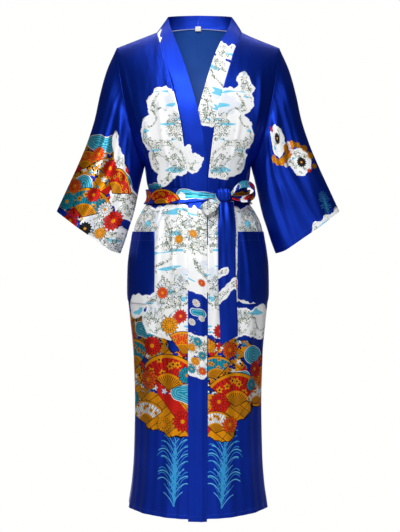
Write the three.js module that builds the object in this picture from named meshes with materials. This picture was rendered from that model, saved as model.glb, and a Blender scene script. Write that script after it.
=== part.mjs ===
// A long satin kimono robe, filled out as it is worn, with nobody inside it.
// Millimetres. +X is the wearer's left, -Y the front and +Z up. The origin is at the base of the neck,
// on the middle line, level with the two points where the shoulder seams meet the neckband.

import * as THREE from "three";

// Heights of the landmarks
const NECK_Z = 3;
const SHOULDER_TIP_Z = -41;
const ARMPIT_Z = -362;
const BELT_Z = -446;
const HEM_Z = -1280;
const WAIST_ROWS_END_Z = -600;

// Widths of the yoke and the collar
const NECK_X = 111;
const SHOULDER_TIP_X = 221;
const SHOULDER_Y = 8;
const NECK_BACK_Y = 64;
const NECK_BACK_RISE = 21;
const ARMHOLE_ANGLE = 62;

// Cloth as modelled: one layer, the band that is folded double, and the space left at each seam
const CLOTH = 1.2;
const BAND_CLOTH = 2;
const SEAM_GAP = 0.4;
const BAND_STEP = 0.8;
const OVERLAP_LIFT = 3.2;
const OVERLAP_REACH = 0.2;
const BAND_DROP = 6;

// The fronts cross up to the first of these heights, and the upper one's lift has ended by the second.
const CROSSING_Z = -215;
const CROSSING_END_Z = -110;

// The body is drawn in to the shoulder's slope within this height of it.
// The curve is fuller where the softness is less.
const ROUNDING = 140;
const ROUNDING_SOFT = 0.9;
const ROUNDING_FULL = 0.5;
const SOFT_BACK_X = { from: 70, to: 150 };

// The neckline's curve behind the neck, as the powers of a squared ellipse
const NECKLINE_BOW = { inner: 2.6, outer: 0.8 };

// The band lies on the chest below the first of these heights and is straight across above the second.
const BAND_LIES_Z = -160;
const BAND_STANDS_Z = -70;
const BAND_FREE_Z = -60;

// How finely each wall is divided
const SKIRT_ROWS = 12;
const WAIST_ROWS = 8;
const YOKE_ROWS = 12;
const YOKE_EASE = 1.4;
const FRONT_COLUMNS = 16;
const HALF_BACK_COLUMNS = 14;
const NECK_COLUMNS = 6;
const BAND_COLUMNS = 3;
const SLEEVE_ROWS = 10;

// Body of the robe: half width, and depth in front of and behind the side seams.
// "square" is below 1 where the section is fuller than an ellipse.
const SECTIONS = [
  { z: -1280, halfWidth: 187, front: 119, back: 122, square: 0.9 },
  { z: -1215, halfWidth: 178, front: 114, back: 117, square: 0.9 },
  { z: -1142, halfWidth: 173, front: 111, back: 115, square: 0.9 },
  { z: -1013, halfWidth: 171, front: 110, back: 117, square: 0.9 },
  { z: -880, halfWidth: 175, front: 113, back: 122, square: 0.9 },
  { z: -780, halfWidth: 184, front: 118, back: 129, square: 0.9 },
  { z: -700, halfWidth: 191, front: 122, back: 135, square: 0.88 },
  { z: -640, halfWidth: 190, front: 121, back: 135, square: 0.88 },
  { z: -585, halfWidth: 184, front: 117, back: 129, square: 0.86 },
  { z: -527, halfWidth: 170, front: 110, back: 117, square: 0.84 },
  { z: -485, halfWidth: 151, front: 102, back: 101, square: 0.82 },
  { z: -446, halfWidth: 131, front: 92, back: 86, square: 0.8 },
  { z: -400, halfWidth: 137, front: 97, back: 89, square: 0.8 },
  { z: -362, halfWidth: 143, front: 103, back: 94, square: 0.78 },
  { z: -300, halfWidth: 184, front: 112, back: 101, square: 0.86 },
  { z: -230, halfWidth: 212, front: 116, back: 105, square: 0.9 },
  { z: -150, halfWidth: 232, front: 109, back: 108, square: 0.9 },
  { z: -80, halfWidth: 244, front: 94, back: 104, square: 0.9 },
  { z: 0, halfWidth: 250, front: 74, back: 97, square: 0.9 },
  { z: 40, halfWidth: 250, front: 66, back: 92, square: 0.9 },
];

// The armhole's seam as seen from the front, and how far round the body it lies there.
const ARMHOLE = [
  { z: -362, x: 143, angle: 90 },
  { z: -340, x: 157, angle: 80 },
  { z: -310, x: 168.5, angle: 72 },
  { z: -262, x: 181, angle: 65 },
  { z: -181, x: 198, angle: 62.5 },
  { z: -41, x: 221, angle: 62 },
];

// The front edge of each front panel, where the band is sewn on, as its distance from the middle line.
const FRONT_EDGE = [
  { z: -1280, x: 25 },
  { z: -415, x: 25.5 },
  { z: -370, x: 29 },
  { z: -312, x: 36 },
  { z: -254, x: 44 },
  { z: -175, x: 62 },
  { z: -86, x: 87 },
  { z: -45, x: 98 },
  { z: -15, x: 107 },
  { z: 3, x: 111 },
];

// The free edge of the band: across from the height where its seam is. A positive x is past the middle line.
// "stand" is 0 where the band lies on the panel and 1 where it stands up, and then y is its own.
const FREE_EDGE = [
  { seamZ: -1280, x: 23.5, z: -1280, y: 0, stand: 0 },
  { seamZ: -414, x: 23.5, z: -414, y: 0, stand: 0 },
  { seamZ: -370, x: 22, z: -357, y: 0, stand: 0 },
  { seamZ: -312, x: 15.5, z: -301, y: 0, stand: 0 },
  { seamZ: -254, x: 4.6, z: -243, y: 0, stand: 0 },
  { seamZ: -175, x: -16.5, z: -163, y: -108, stand: 0 },
  { seamZ: -130, x: -30, z: -117, y: -97, stand: 0.3 },
  { seamZ: -86, x: -45, z: -70, y: -77, stand: 1 },
  { seamZ: -45, x: -62, z: -22, y: -46, stand: 1 },
  { seamZ: -20, x: -71, z: 4, y: -25, stand: 1 },
  { seamZ: -6, x: -77, z: 24, y: -5, stand: 1 },
  { seamZ: 3, x: -82, z: 47, y: 14, stand: 1 },
];

// The top edge of the collar behind the neck, from the shoulder (share 0) to the middle of the back (1).
const COLLAR_TOP = [
  { share: 0, x: 82, y: 14, z: 47 },
  { share: 0.2, x: 79, y: 34, z: 52 },
  { share: 0.45, x: 64, y: 58, z: 58 },
  { share: 0.7, x: 38, y: 74, z: 62 },
  { share: 1, x: 0, y: 80, z: 64 },
];

// The two edges of a sleeve seen from the front, from the armhole (along 0) to the cuff (along 1),
// with the half depth of the tube there.
const SLEEVE = [
  { along: 0, topX: 221, topZ: -41, underX: 143, underZ: -362, halfDepth: 56 },
  { along: 0.15, topX: 249, topZ: -105, underX: 152.5, underZ: -397, halfDepth: 54 },
  { along: 0.3, topX: 267, topZ: -170, underX: 160.5, underZ: -430, halfDepth: 51 },
  { along: 0.45, topX: 281, topZ: -235, underX: 168, underZ: -465, halfDepth: 48 },
  { along: 0.6, topX: 302, topZ: -300, underX: 176, underZ: -497, halfDepth: 46 },
  { along: 0.75, topX: 329, topZ: -365, underX: 187, underZ: -530, halfDepth: 45 },
  { along: 0.9, topX: 362, topZ: -436, underX: 199, underZ: -568, halfDepth: 44 },
  { along: 1, topX: 383, topZ: -481, underX: 210, underZ: -597, halfDepth: 43 },
];

// Long soft folds of the body. Angles are in degrees round from the front, plus to the wearer's left.
const BODY_FOLDS = [
  { top: -700, bottom: -1420, angleTop: -20, angleBottom: -27, width: 7, depth: 6 },
  { top: -640, bottom: -1420, angleTop: -44, angleBottom: -50, width: 8, depth: 7 },
  { top: -760, bottom: -1420, angleTop: -68, angleBottom: -74, width: 8, depth: 6 },
  { top: -740, bottom: -1420, angleTop: 24, angleBottom: 28, width: 7, depth: 5 },
  { top: -650, bottom: -1420, angleTop: 46, angleBottom: 53, width: 8, depth: 7 },
  { top: -760, bottom: -1420, angleTop: 70, angleBottom: 76, width: 8, depth: 6 },
  { top: -600, bottom: -1420, angleTop: 108, angleBottom: 103, width: 8, depth: 7 },
  { top: -660, bottom: -1420, angleTop: 132, angleBottom: 129, width: 8, depth: 8 },
  { top: -620, bottom: -1420, angleTop: 156, angleBottom: 155, width: 8, depth: 7 },
  { top: -640, bottom: -1420, angleTop: 180, angleBottom: 182, width: 8, depth: 8 },
  { top: -600, bottom: -1420, angleTop: -154, angleBottom: -152, width: 8, depth: 7 },
  { top: -670, bottom: -1420, angleTop: -130, angleBottom: -126, width: 8, depth: 8 },
  { top: -610, bottom: -1420, angleTop: -107, angleBottom: -102, width: 8, depth: 7 },
  { top: -120, bottom: -400, angleTop: -50, angleBottom: -40, width: 7, depth: 4 },
  { top: -110, bottom: -400, angleTop: 52, angleBottom: 40, width: 7, depth: 4 },
  { top: -90, bottom: -420, angleTop: 140, angleBottom: 150, width: 8, depth: 5 },
  { top: -90, bottom: -420, angleTop: -142, angleBottom: -150, width: 8, depth: 5 },
];
const FOLD_FADE = 130;

// Gathers that run out above and below the belt, uneven in place, length and depth.
const GATHER_FIRST = -78;
const GATHER_PITCH = 18;
const GATHER_COUNT = 20;
const GATHER_WIDTH = 5;
const GATHER_DEPTH = 3.4;
const GATHER_REACH_UP = 95;
const GATHER_REACH_DOWN = 120;
const GATHER_FREE_ANGLE = 17;
const BELT_PRESS = 0.85;
const BELT_PRESS_REACH = 46;

// Long folds of a sleeve: "round" runs 0 to 1 from its top fold down the front to the underarm,
// and on to 2 up the back.
const SLEEVE_FOLDS = [
  { round0: 0.3, round1: 0.2, start: -0.2, end: 0.9, width: 0.09, depth: 5 },
  { round0: 0.62, round1: 0.42, start: -0.1, end: 1.3, width: 0.08, depth: 6 },
  { round0: 0.86, round1: 0.74, start: 0.05, end: 1.4, width: 0.07, depth: 5 },
  { round0: 1.2, round1: 1.3, start: 0.05, end: 1.4, width: 0.08, depth: 5 },
  { round0: 1.45, round1: 1.6, start: -0.1, end: 1.3, width: 0.08, depth: 6 },
  { round0: 1.75, round1: 1.82, start: -0.1, end: 1, width: 0.08, depth: 5 },
];
const SLEEVE_FADE = 0.22;
const SLEEVE_FIT = 2.2;
const SLEEVE_SQUARE = 0.85;

// Patch pockets: the edge nearer the middle, the edge nearer the side seam, and the depth of the pocket
const POCKET_TOP_Z = -540;
const POCKET_HEIGHT = 190;
const POCKET_OUTER_ANGLE = 84;
const POCKET_CORNER = 22;
const POCKET_CLEARANCE = 1.4;
const POCKET_COLUMNS = 8;
const POCKET_ROWS = 6;
const POCKET_CORNER_ROWS = 3;
const RIGHT_POCKET_X = 113;
const LEFT_POCKET_X = 103;

// The belt: a sash that is bunched to this height where it goes round, and tied left of the middle
const BELT_HEIGHT = 38;
const BELT_HEIGHT_AT_KNOT = 20;
const BUNCHED = { whole: 0.02, none: 0.15 };
const BELT_CLOTH = 2;
const BELT_CLEARANCE = 6.2;
const BELT_STEPS = 56;
const BELT_COLUMNS = 4;
const BELT_PLEAT = 1.3;
const KNOT_ANGLE = 30;
const KNOT_HALF = { x: 21, y: 13, z: 18 };
const KNOT_CENTRE = { x: 66, y: -106.9, z: -444 };
const SASH_WIDTH = 45;
const SASH_CLOTH = 1.6;
const TAIL_COLUMNS = 3;
const TAIL_OVER = {
  topX: 71, bottomX: 78, topZ: -461.6, bottomZ: -824,
  clear: 5, reach: 15, slant: 22, width: SASH_WIDTH, rows: 14,
};
const TAIL_UNDER = {
  topX: 73, bottomX: 79, topZ: -460, bottomZ: -700,
  clear: 2.2, reach: 12, slant: 24, width: SASH_WIDTH, rows: 10,
};
const BOW_LOOP = {
  path: [
    { x: 87.6, y: -108, z: -441 },
    { x: 98, y: -107, z: -428 },
    { x: 116, y: -103, z: -417 },
    { x: 137, y: -99, z: -418 },
    { x: 149, y: -97, z: -431 },
    { x: 144, y: -98, z: -446 },
    { x: 122, y: -102, z: -454 },
    { x: 100, y: -107, z: -453 },
    { x: 89, y: -109, z: -450 },
  ],
  across: { x: 0, y: 0.88, z: 0.48 },
  width: 38,
  steps: 18,
};
const FOLDED_END = {
  path: [
    { x: 54, y: -113.5, z: -458 },
    { x: 36, y: -121, z: -471 },
    { x: 19, y: -121, z: -483 },
    { x: 15, y: -117, z: -488 },
    { x: 21, y: -113, z: -484 },
    { x: 51, y: -106.5, z: -462.5 },
  ],
  across: { x: 0.6, y: 0, z: -0.8 },
  width: 32,
  steps: 12,
};

// The small label inside the back of the neck
const LABEL = { width: 15, height: 13, thickness: 0.8 };

const radians = (degrees) => (degrees * Math.PI) / 180;
const mix = (a, b, share) => a + (b - a) * share;
const clamp01 = (x) => Math.min(1, Math.max(0, x));

// 0 below "from", 1 above "to", and an S curve between.
function ease(from, to, x) {
  const t = clamp01((x - from) / (to - from));
  return t * t * (3 - 2 * t);
}

// The value in column "column" of a table, at "at" in column "by", on a smooth curve through the rows
// that doesn't overshoot them.
function lookUp(table, by, column, at) {
  const rows = table.length;
  if (at <= table[0][by]) return table[0][column];
  if (at >= table[rows - 1][by]) return table[rows - 1][column];
  const i = table.findIndex((row, k) => k > 0 && at <= row[by]) - 1;
  const slope = (k) => (table[k + 1][column] - table[k][column]) / (table[k + 1][by] - table[k][by]);
  const tangent = (k) => {
    if (k === 0 || k === rows - 1) return slope(Math.min(k, rows - 2));
    const [before, after] = [slope(k - 1), slope(k)];
    return before * after <= 0 ? 0 : (2 * before * after) / (before + after);
  };
  const step = table[i + 1][by] - table[i][by];
  const t = (at - table[i][by]) / step;
  const [t2, t3] = [t * t, t * t * t];
  return (
    (2 * t3 - 3 * t2 + 1) * table[i][column] +
    (t3 - 2 * t2 + t) * step * tangent(i) +
    (3 * t2 - 2 * t3) * table[i + 1][column] +
    (t3 - t2) * step * tangent(i + 1)
  );
}

const section = (column, z) => lookUp(SECTIONS, "z", column, z);

// Above the armpit the section's half width follows from where the armhole's seam is.
function halfWidth(z) {
  if (z <= ARMPIT_Z) return section("halfWidth", z);
  const angle = radians(lookUp(ARMHOLE, "z", "angle", z));
  return lookUp(ARMHOLE, "z", "x", z) / Math.sin(angle);
}

// The gathers as rows like those of BODY_FOLDS, spread unevenly by a sum of sines.
function gatherRows() {
  const rows = [];
  for (let i = 0; i < GATHER_COUNT; i++) {
    const uneven = Math.sin(i * 2.4) + 0.5 * Math.sin(i * 5.1 + 1);
    const angle = GATHER_FIRST + i * GATHER_PITCH + 2.4 * uneven;
    const overBands = Math.abs(angle) < GATHER_FREE_ANGLE;
    if (!overBands)
      rows.push({
        top: BELT_Z + GATHER_REACH_UP * (1 + 0.25 * Math.sin(i * 1.7)),
        bottom: BELT_Z - GATHER_REACH_DOWN * (1 + 0.3 * Math.sin(i * 2.9 + 2)),
        angleTop: angle * 1.03,
        angleBottom: angle * 0.97,
        width: GATHER_WIDTH,
        depth: GATHER_DEPTH * (1 + 0.3 * uneven),
        fade: 60,
      });
  }
  return rows;
}

const ALL_FOLDS = [...BODY_FOLDS, ...gatherRows()];

// How far the cloth stands out at an angle round the body and a height, with the belt pressing it flat.
function relief(angle, z) {
  let out = 0;
  for (const fold of ALL_FOLDS) {
    const fade = fold.fade ?? FOLD_FADE;
    const share = clamp01((fold.top - z) / (fold.top - fold.bottom));
    const middle = mix(fold.angleTop, fold.angleBottom, share);
    const away = ((((angle - middle) % 360) + 540) % 360) - 180;
    const across = Math.exp(-((away / fold.width) ** 2));
    const [fromBottom, toTop] = [ease(fold.bottom, fold.bottom + fade, z), ease(fold.top - fade, fold.top, z)];
    out += fold.depth * across * fromBottom * (1 - toTop);
  }
  const pressed = BELT_PRESS * Math.exp(-(((z - BELT_Z) / BELT_PRESS_REACH) ** 2));
  return out * (1 - pressed);
}

// The edge above a point: the shoulder's slope, or behind the neck the curve of the neckline.
function topEdge(x, behind) {
  const side = Math.abs(x);
  if (side >= NECK_X || !behind) {
    const share = clamp01((side - NECK_X) / (SHOULDER_TIP_X - NECK_X));
    return { z: mix(NECK_Z, SHOULDER_TIP_Z, share), y: mix(SHOULDER_Y, 0, share) };
  }
  const share = side / NECK_X;
  const bow = (1 - share ** NECKLINE_BOW.inner) ** NECKLINE_BOW.outer;
  return {
    z: NECK_Z + NECK_BACK_RISE * (1 - share ** 2),
    y: mix(SHOULDER_Y, NECK_BACK_Y, bow),
  };
}

// A point of the body's outer face, at an angle in degrees from the front. "lift" is how far it is moved out.
// The section is a squared ellipse.
function bodyPoint(angle, z, top, lift = 0) {
  const a = radians(angle);
  const cos = Math.cos(a);
  const width = halfWidth(z);
  const depth = section(cos >= 0 ? "front" : "back", z);
  const full = -Math.sign(cos) * depth * Math.abs(cos) ** section("square", z);
  const out = relief(angle, z) * ease(0, ROUNDING, top.z - z) + lift;
  const normal = new THREE.Vector2(Math.sin(a) / width, -cos / depth).normalize();
  const x = width * Math.sin(a) + normal.x * out;
  const near = clamp01((top.z - z) / ROUNDING);
  const { from, to } = SOFT_BACK_X;
  const softness = cos < 0 ? mix(ROUNDING_SOFT, ROUNDING_FULL, ease(from, to, Math.abs(x))) : ROUNDING_FULL;
  const share = (1 - (1 - near) ** 2) ** softness;
  return new THREE.Vector3(x, mix(top.y, full + normal.y * out, share), z);
}

// The angle of a point of the front face that is x from the middle line.
const angleAt = (x, z) => THREE.MathUtils.radToDeg(Math.asin(x / halfWidth(z)));

const frontPoint = (x, z, lift = 0) => bodyPoint(angleAt(x, z), z, topEdge(x, false), lift);

// Rows of a panel from the hem (first) to the shoulder (last). "yoke" is 0 up to the armpit and 1 at the top.
function panelRows() {
  const rows = [];
  for (let i = 0; i < SKIRT_ROWS; i++)
    rows.push({ z: mix(HEM_Z, WAIST_ROWS_END_Z, i / SKIRT_ROWS), yoke: 0 });
  for (let i = 0; i < WAIST_ROWS; i++)
    rows.push({ z: mix(WAIST_ROWS_END_Z, ARMPIT_Z, i / WAIST_ROWS), yoke: 0 });
  for (let i = 0; i <= YOKE_ROWS; i++) rows.push({ z: ARMPIT_Z, yoke: 1 - (1 - i / YOKE_ROWS) ** YOKE_EASE });
  return rows;
}
const ROWS = panelRows();

// The angle round the body of the armhole's seam, or of the side seam below it.
function sideAngle(row) {
  const z = mix(ARMPIT_Z, SHOULDER_TIP_Z, row.yoke);
  return row.yoke > 0 ? lookUp(ARMHOLE, "z", "angle", z) : 90;
}

// How much further out the right front lies where it crosses the left one.
const overlapLift = (side, z) => (side < 0 ? OVERLAP_LIFT * (1 - ease(CROSSING_Z, CROSSING_END_Z, z)) : 0);

// A front panel: "across" runs from 0 at the band to 1 at the side seam or armhole, "side" is -1 or 1.
// The right front lies over the left one, so its edge is lifted where they overlap.
function frontPanelPoint(side, across, row) {
  const edgeZ = row.yoke > 0 ? mix(ARMPIT_Z, NECK_Z, row.yoke) : row.z;
  const edgeX = lookUp(FRONT_EDGE, "z", "x", edgeZ);
  const angle = mix(angleAt(edgeX, edgeZ), sideAngle(row), across);
  const topAngle = mix(angleAt(NECK_X, NECK_Z), ARMHOLE_ANGLE, across);
  const top = topEdge(halfWidth(SHOULDER_TIP_Z) * Math.sin(radians(topAngle)), false);
  const z = row.yoke > 0 ? mix(ARMPIT_Z, top.z, row.yoke) : row.z;
  const over = overlapLift(side, z) * (1 - ease(0, OVERLAP_REACH, across));
  return bodyPoint(side * angle, z, top, over);
}

// The back panel: "across" runs from -1 at the right side seam to 1 at the left one.
// A column of it falls on each point where the neckline ends.
function backPanelPoint(across, row) {
  const neckShare = angleAt(NECK_X, SHOULDER_TIP_Z) / ARMHOLE_ANGLE;
  const neckAcross = NECK_COLUMNS / HALF_BACK_COLUMNS;
  const size = Math.abs(across);
  const share =
    size <= neckAcross
      ? (neckShare * size) / neckAcross
      : mix(neckShare, 1, (size - neckAcross) / (1 - neckAcross));
  const side = Math.sign(across) || 1;
  const top = topEdge(halfWidth(SHOULDER_TIP_Z) * Math.sin(radians(ARMHOLE_ANGLE * share)), true);
  const z = row.yoke > 0 ? mix(ARMPIT_Z, top.z, row.yoke) : row.z;
  return bodyPoint(side * (180 - sideAngle(row) * share), z, top);
}

// Outward normals of a grid of points, from the points on each side of each one. "closed" grids join
// their last column to their first. "flip" is -1 where the columns run the other way round.
function gridNormals(grid, closed, flip) {
  const columns = grid[0].length;
  const wrap = (j) => (closed ? (j + columns) % columns : Math.min(columns - 1, Math.max(0, j)));
  return grid.map((row, i) =>
    row.map((_, j) => {
      const [below, above] = [grid[Math.max(0, i - 1)], grid[Math.min(grid.length - 1, i + 1)]];
      const along = above[j].clone().sub(below[j]);
      const across = row[wrap(j + 1)].clone().sub(row[wrap(j - 1)]);
      return across.cross(along).multiplyScalar(flip).normalize();
    }),
  );
}

// A closed wall whose outer face is the grid and whose inner face is the grid moved in by "thickness".
function wallGeometry(grid, normals, thickness, closed, flip) {
  const [rows, columns] = [grid.length, grid[0].length];
  const positions = [];
  for (const depth of [0, thickness])
    for (let i = 0; i < rows; i++)
      for (let j = 0; j < columns; j++)
        positions.push(...grid[i][j].clone().addScaledVector(normals[i][j], -depth).toArray());
  const at = (layer, i, j) => layer * rows * columns + i * columns + (j % columns);
  const index = [];
  const quad = (a, b, c, d) => (flip > 0 ? index.push(a, b, c, a, c, d) : index.push(a, c, b, a, d, c));
  const spans = closed ? columns : columns - 1;
  for (let i = 0; i < rows - 1; i++)
    for (let j = 0; j < spans; j++) {
      quad(at(0, i, j), at(0, i, j + 1), at(0, i + 1, j + 1), at(0, i + 1, j));
      quad(at(1, i, j), at(1, i + 1, j), at(1, i + 1, j + 1), at(1, i, j + 1));
    }
  for (let j = 0; j < spans; j++) {
    quad(at(0, 0, j), at(1, 0, j), at(1, 0, j + 1), at(0, 0, j + 1));
    quad(at(0, rows - 1, j), at(0, rows - 1, j + 1), at(1, rows - 1, j + 1), at(1, rows - 1, j));
  }
  if (!closed)
    for (let i = 0; i < rows - 1; i++) {
      const end = columns - 1;
      quad(at(0, i, 0), at(0, i + 1, 0), at(1, i + 1, 0), at(1, i, 0));
      quad(at(0, i, end), at(1, i, end), at(1, i + 1, end), at(0, i + 1, end));
    }
  const geometry = new THREE.BufferGeometry();
  geometry.setAttribute("position", new THREE.Float32BufferAttribute(positions, 3));
  geometry.setIndex(index);
  return geometry;
}

// Satin, one material for each colour of it.
const satin = (color, roughness = 0.38) => new THREE.MeshStandardMaterial({ color, roughness, metalness: 0 });
const BLUE_SATIN = satin("#1a2fae");
const PRINTED_SATIN = satin("#b9b4a8");
const SASH_SATIN = satin("#3f7fa6");
const LABEL_CLOTH = satin("#eceae4", 0.7);

const robe = new THREE.Group();
function addPiece(name, geometry, material) {
  const mesh = new THREE.Mesh(geometry, material);
  mesh.name = name;
  mesh.geometry.computeVertexNormals();
  robe.add(mesh);
}

// A point moved by a small step, so that neighbouring pieces stay apart at their seam.
const moved = (point, x, y, z) => point.clone().add(new THREE.Vector3(x, y, z));

// Moves a panel's last row down and to its own side of the shoulder seam, and its side edges off
// the side seam.
function clearSeams(grid, toFront, sideColumns) {
  const half = SEAM_GAP / 2;
  const last = grid.length - 1;
  grid[last] = grid[last].map((p) => moved(p, 0, toFront * half, -half / 2));
  grid.forEach((row, i) => {
    for (const j of sideColumns) if (i < grid.length - 1) row[j] = moved(row[j], 0, toFront * half, 0);
  });
}

// The normal of the wall on the shoulder seam stands straight up from its slope.
const shoulderNormal = (side) =>
  new THREE.Vector3(side * (NECK_Z - SHOULDER_TIP_Z), 0, SHOULDER_TIP_X - NECK_X).normalize();

// Fronts and back

function frontGrid(side) {
  return ROWS.map((row) => {
    const points = [];
    for (let j = 0; j <= FRONT_COLUMNS; j++) points.push(frontPanelPoint(side, j / FRONT_COLUMNS, row));
    return points;
  });
}

function backGrid() {
  return ROWS.map((row) => {
    const points = [];
    for (let j = -HALF_BACK_COLUMNS; j <= HALF_BACK_COLUMNS; j++)
      points.push(backPanelPoint(j / HALF_BACK_COLUMNS, row));
    return points;
  });
}

// Below the armpit the wall on a side seam points straight out to the side.
function squareSideSeam(normals, column, side) {
  ROWS.forEach((row, i) => {
    if (row.yoke === 0) normals[i][column].set(side, 0, 0);
  });
}

function frontNormals(grid, side) {
  const normals = gridNormals(grid, false, side);
  squareSideSeam(normals, FRONT_COLUMNS, side);
  normals[normals.length - 1].forEach((normal) => normal.copy(shoulderNormal(side)));
  return normals;
}

function backNormals(grid) {
  const normals = gridNormals(grid, false, -1);
  squareSideSeam(normals, 0, -1);
  squareSideSeam(normals, 2 * HALF_BACK_COLUMNS, 1);
  normals[normals.length - 1].forEach((normal, j) => {
    const across = j - HALF_BACK_COLUMNS;
    if (Math.abs(across) >= NECK_COLUMNS) normal.copy(shoulderNormal(Math.sign(across)));
  });
  return normals;
}

function addFront(name, side) {
  const grid = frontGrid(side);
  const normals = frontNormals(grid, side);
  clearSeams(grid, -1, [FRONT_COLUMNS]);
  addPiece(name, wallGeometry(grid, normals, CLOTH, false, side), BLUE_SATIN);
}

function addBack() {
  const grid = backGrid();
  const normals = backNormals(grid);
  clearSeams(grid, 1, [0, 2 * HALF_BACK_COLUMNS]);
  addPiece("back", wallGeometry(grid, normals, CLOTH, false, -1), BLUE_SATIN);
}

// Sleeves

const sleeveRow = (column, along) => lookUp(SLEEVE, "along", column, along);

// The armhole as a ring, from the shoulder's tip down the front to the armpit and up the back,
// of whatever the front and the back hold for each of their points.
function armholeRing(side, front, back) {
  const first = ROWS.length - 1 - YOKE_ROWS;
  const backColumn = side < 0 ? 0 : 2 * HALF_BACK_COLUMNS;
  const down = front.slice(first).map((row) => row[FRONT_COLUMNS]).reverse();
  const up = back.slice(first).map((row) => row[backColumn]);
  return [...down, ...up.slice(1, -1)];
}

// A point of a sleeve before it is fitted to the armhole: "round" from 0 at the top fold to 1 at the
// underarm along the front, and to 2 back along the rear; "along" from the armhole to the cuff.
function sleeveTube(side, round, along) {
  const turn = Math.PI * round;
  const down = (1 - Math.cos(turn)) / 2;
  let depth = sleeveRow("halfDepth", along);
  for (const fold of SLEEVE_FOLDS) {
    const middle = mix(fold.round0, fold.round1, along);
    const lengthwise =
      ease(fold.start, fold.start + SLEEVE_FADE, along) * (1 - ease(fold.end - SLEEVE_FADE, fold.end, along));
    const across = Math.exp(-(((round - middle) / fold.width) ** 2));
    depth += fold.depth * across * lengthwise * ease(0, SLEEVE_FADE, along);
  }
  return new THREE.Vector3(
    side * mix(sleeveRow("topX", along), sleeveRow("underX", along), down),
    -Math.sign(Math.sin(turn)) * Math.abs(Math.sin(turn)) ** SLEEVE_SQUARE * depth,
    mix(sleeveRow("topZ", along), sleeveRow("underZ", along), down),
  );
}

function addSleeve(name, side) {
  const [front, back] = [frontGrid(side), backGrid()];
  const ring = armholeRing(side, front, back);
  const grid = [];
  for (let i = 0; i <= SLEEVE_ROWS; i++) {
    const along = i / SLEEVE_ROWS;
    const fit = (1 - along) ** SLEEVE_FIT;
    grid.push(
      ring.map((seam, j) => {
        const round = (2 * j) / ring.length;
        const fitting = seam.clone().sub(sleeveTube(side, round, 0));
        return sleeveTube(side, round, along).addScaledVector(fitting, fit);
      }),
    );
  }
  grid[0] = grid[0].map((p) => moved(p, side * 1.5 * SEAM_GAP, 0, -0.5 * SEAM_GAP));
  const normals = gridNormals(grid, true, side);
  normals[0] = armholeRing(side, frontNormals(front, side), backNormals(back));
  addPiece(name, wallGeometry(grid, normals, CLOTH, true, side), PRINTED_SATIN);
}

// Neck and front band, in two halves that meet at the middle of the back

// The band's free edge across from its seam at a height, as a point on the chest or in the air.
function freeEdgePoint(side, seamZ, lift) {
  const read = (column) => lookUp(FREE_EDGE, "seamZ", column, seamZ);
  const x = -side * read("x");
  const z = read("z");
  const onChest = frontPoint(x, z, lift);
  const stand = read("stand");
  return new THREE.Vector3(x, mix(onChest.y, read("y"), stand), z);
}

// One row of the band's outer face. On the body it follows the chest's curve, higher up it is straight.
function bandRow(seam, free, seamZ, lift) {
  const straight = ease(BAND_LIES_Z, BAND_STANDS_Z, seamZ);
  const points = [];
  for (let j = 0; j <= BAND_COLUMNS; j++) {
    const across = j / BAND_COLUMNS;
    const point = seam.clone().lerp(free, across);
    const onBody = seamZ > BAND_FREE_Z ? point : frontPoint(point.x, point.z, lift);
    point.y = mix(onBody.y, point.y, straight);
    points.push(point);
  }
  return points;
}

function addBand(name, side) {
  const grid = [];
  ROWS.forEach((row, i) => {
    const seamZ = row.yoke > 0 ? mix(ARMPIT_Z, NECK_Z, row.yoke) : row.z;
    const lift = BAND_STEP + overlapLift(side, seamZ);
    const edge = frontPanelPoint(side, 0, row);
    const seam = moved(edge, -side * SEAM_GAP, -BAND_STEP * (1 - row.yoke), 0);
    const free = freeEdgePoint(side, seamZ, lift);
    if (i === 0 && side < 0) {
      seam.z -= BAND_DROP;
      free.z -= BAND_DROP;
    }
    grid.push(bandRow(seam, free, seamZ, lift));
  });
  const last = ROWS[ROWS.length - 1];
  for (let k = NECK_COLUMNS - 1; k >= 0; k--) {
    const share = 1 - k / NECK_COLUMNS;
    const seam = backPanelPoint((side * k) / HALF_BACK_COLUMNS, last).add(new THREE.Vector3(0, 0, SEAM_GAP));
    const top = (column) => lookUp(COLLAR_TOP, "share", column, share);
    const free = new THREE.Vector3(side * top("x"), top("y"), top("z"));
    if (k === 0) seam.x = free.x = side * SEAM_GAP;
    grid.push(bandRow(seam, free, 0, 0));
  }
  const normals = gridNormals(grid, false, -side);
  addPiece(name, wallGeometry(grid, normals, BAND_CLOTH, false, -side), BLUE_SATIN);
}

// Patch pockets, made from the panel's own points, moved out

// Each row of a pocket: its height above the lower edge, and how far the round corners draw its ends in.
function pocketRows() {
  const rows = [];
  for (let i = 0; i < POCKET_CORNER_ROWS; i++) {
    const turn = (Math.PI / 2) * (i / POCKET_CORNER_ROWS);
    rows.push({ up: POCKET_CORNER * (1 - Math.cos(turn)), inset: POCKET_CORNER * (1 - Math.sin(turn)) });
  }
  for (let i = 0; i <= POCKET_ROWS; i++)
    rows.push({ up: mix(POCKET_CORNER, POCKET_HEIGHT, i / POCKET_ROWS), inset: 0 });
  return rows;
}

function addPocket(name, side, innerX) {
  const grid = pocketRows().map(({ up, inset }) => {
    const z = POCKET_TOP_Z - POCKET_HEIGHT + up;
    const turn = THREE.MathUtils.radToDeg(inset / section("front", z));
    const inner = angleAt(innerX + inset, z);
    const outer = POCKET_OUTER_ANGLE - turn;
    const points = [];
    for (let j = 0; j <= POCKET_COLUMNS; j++) {
      const angle = side * mix(inner, outer, j / POCKET_COLUMNS);
      points.push(bodyPoint(angle, z, topEdge(0, false), CLOTH + POCKET_CLEARANCE));
    }
    return points;
  });
  const normals = gridNormals(grid, false, side);
  addPiece(name, wallGeometry(grid, normals, CLOTH, false, side), BLUE_SATIN);
}

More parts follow.
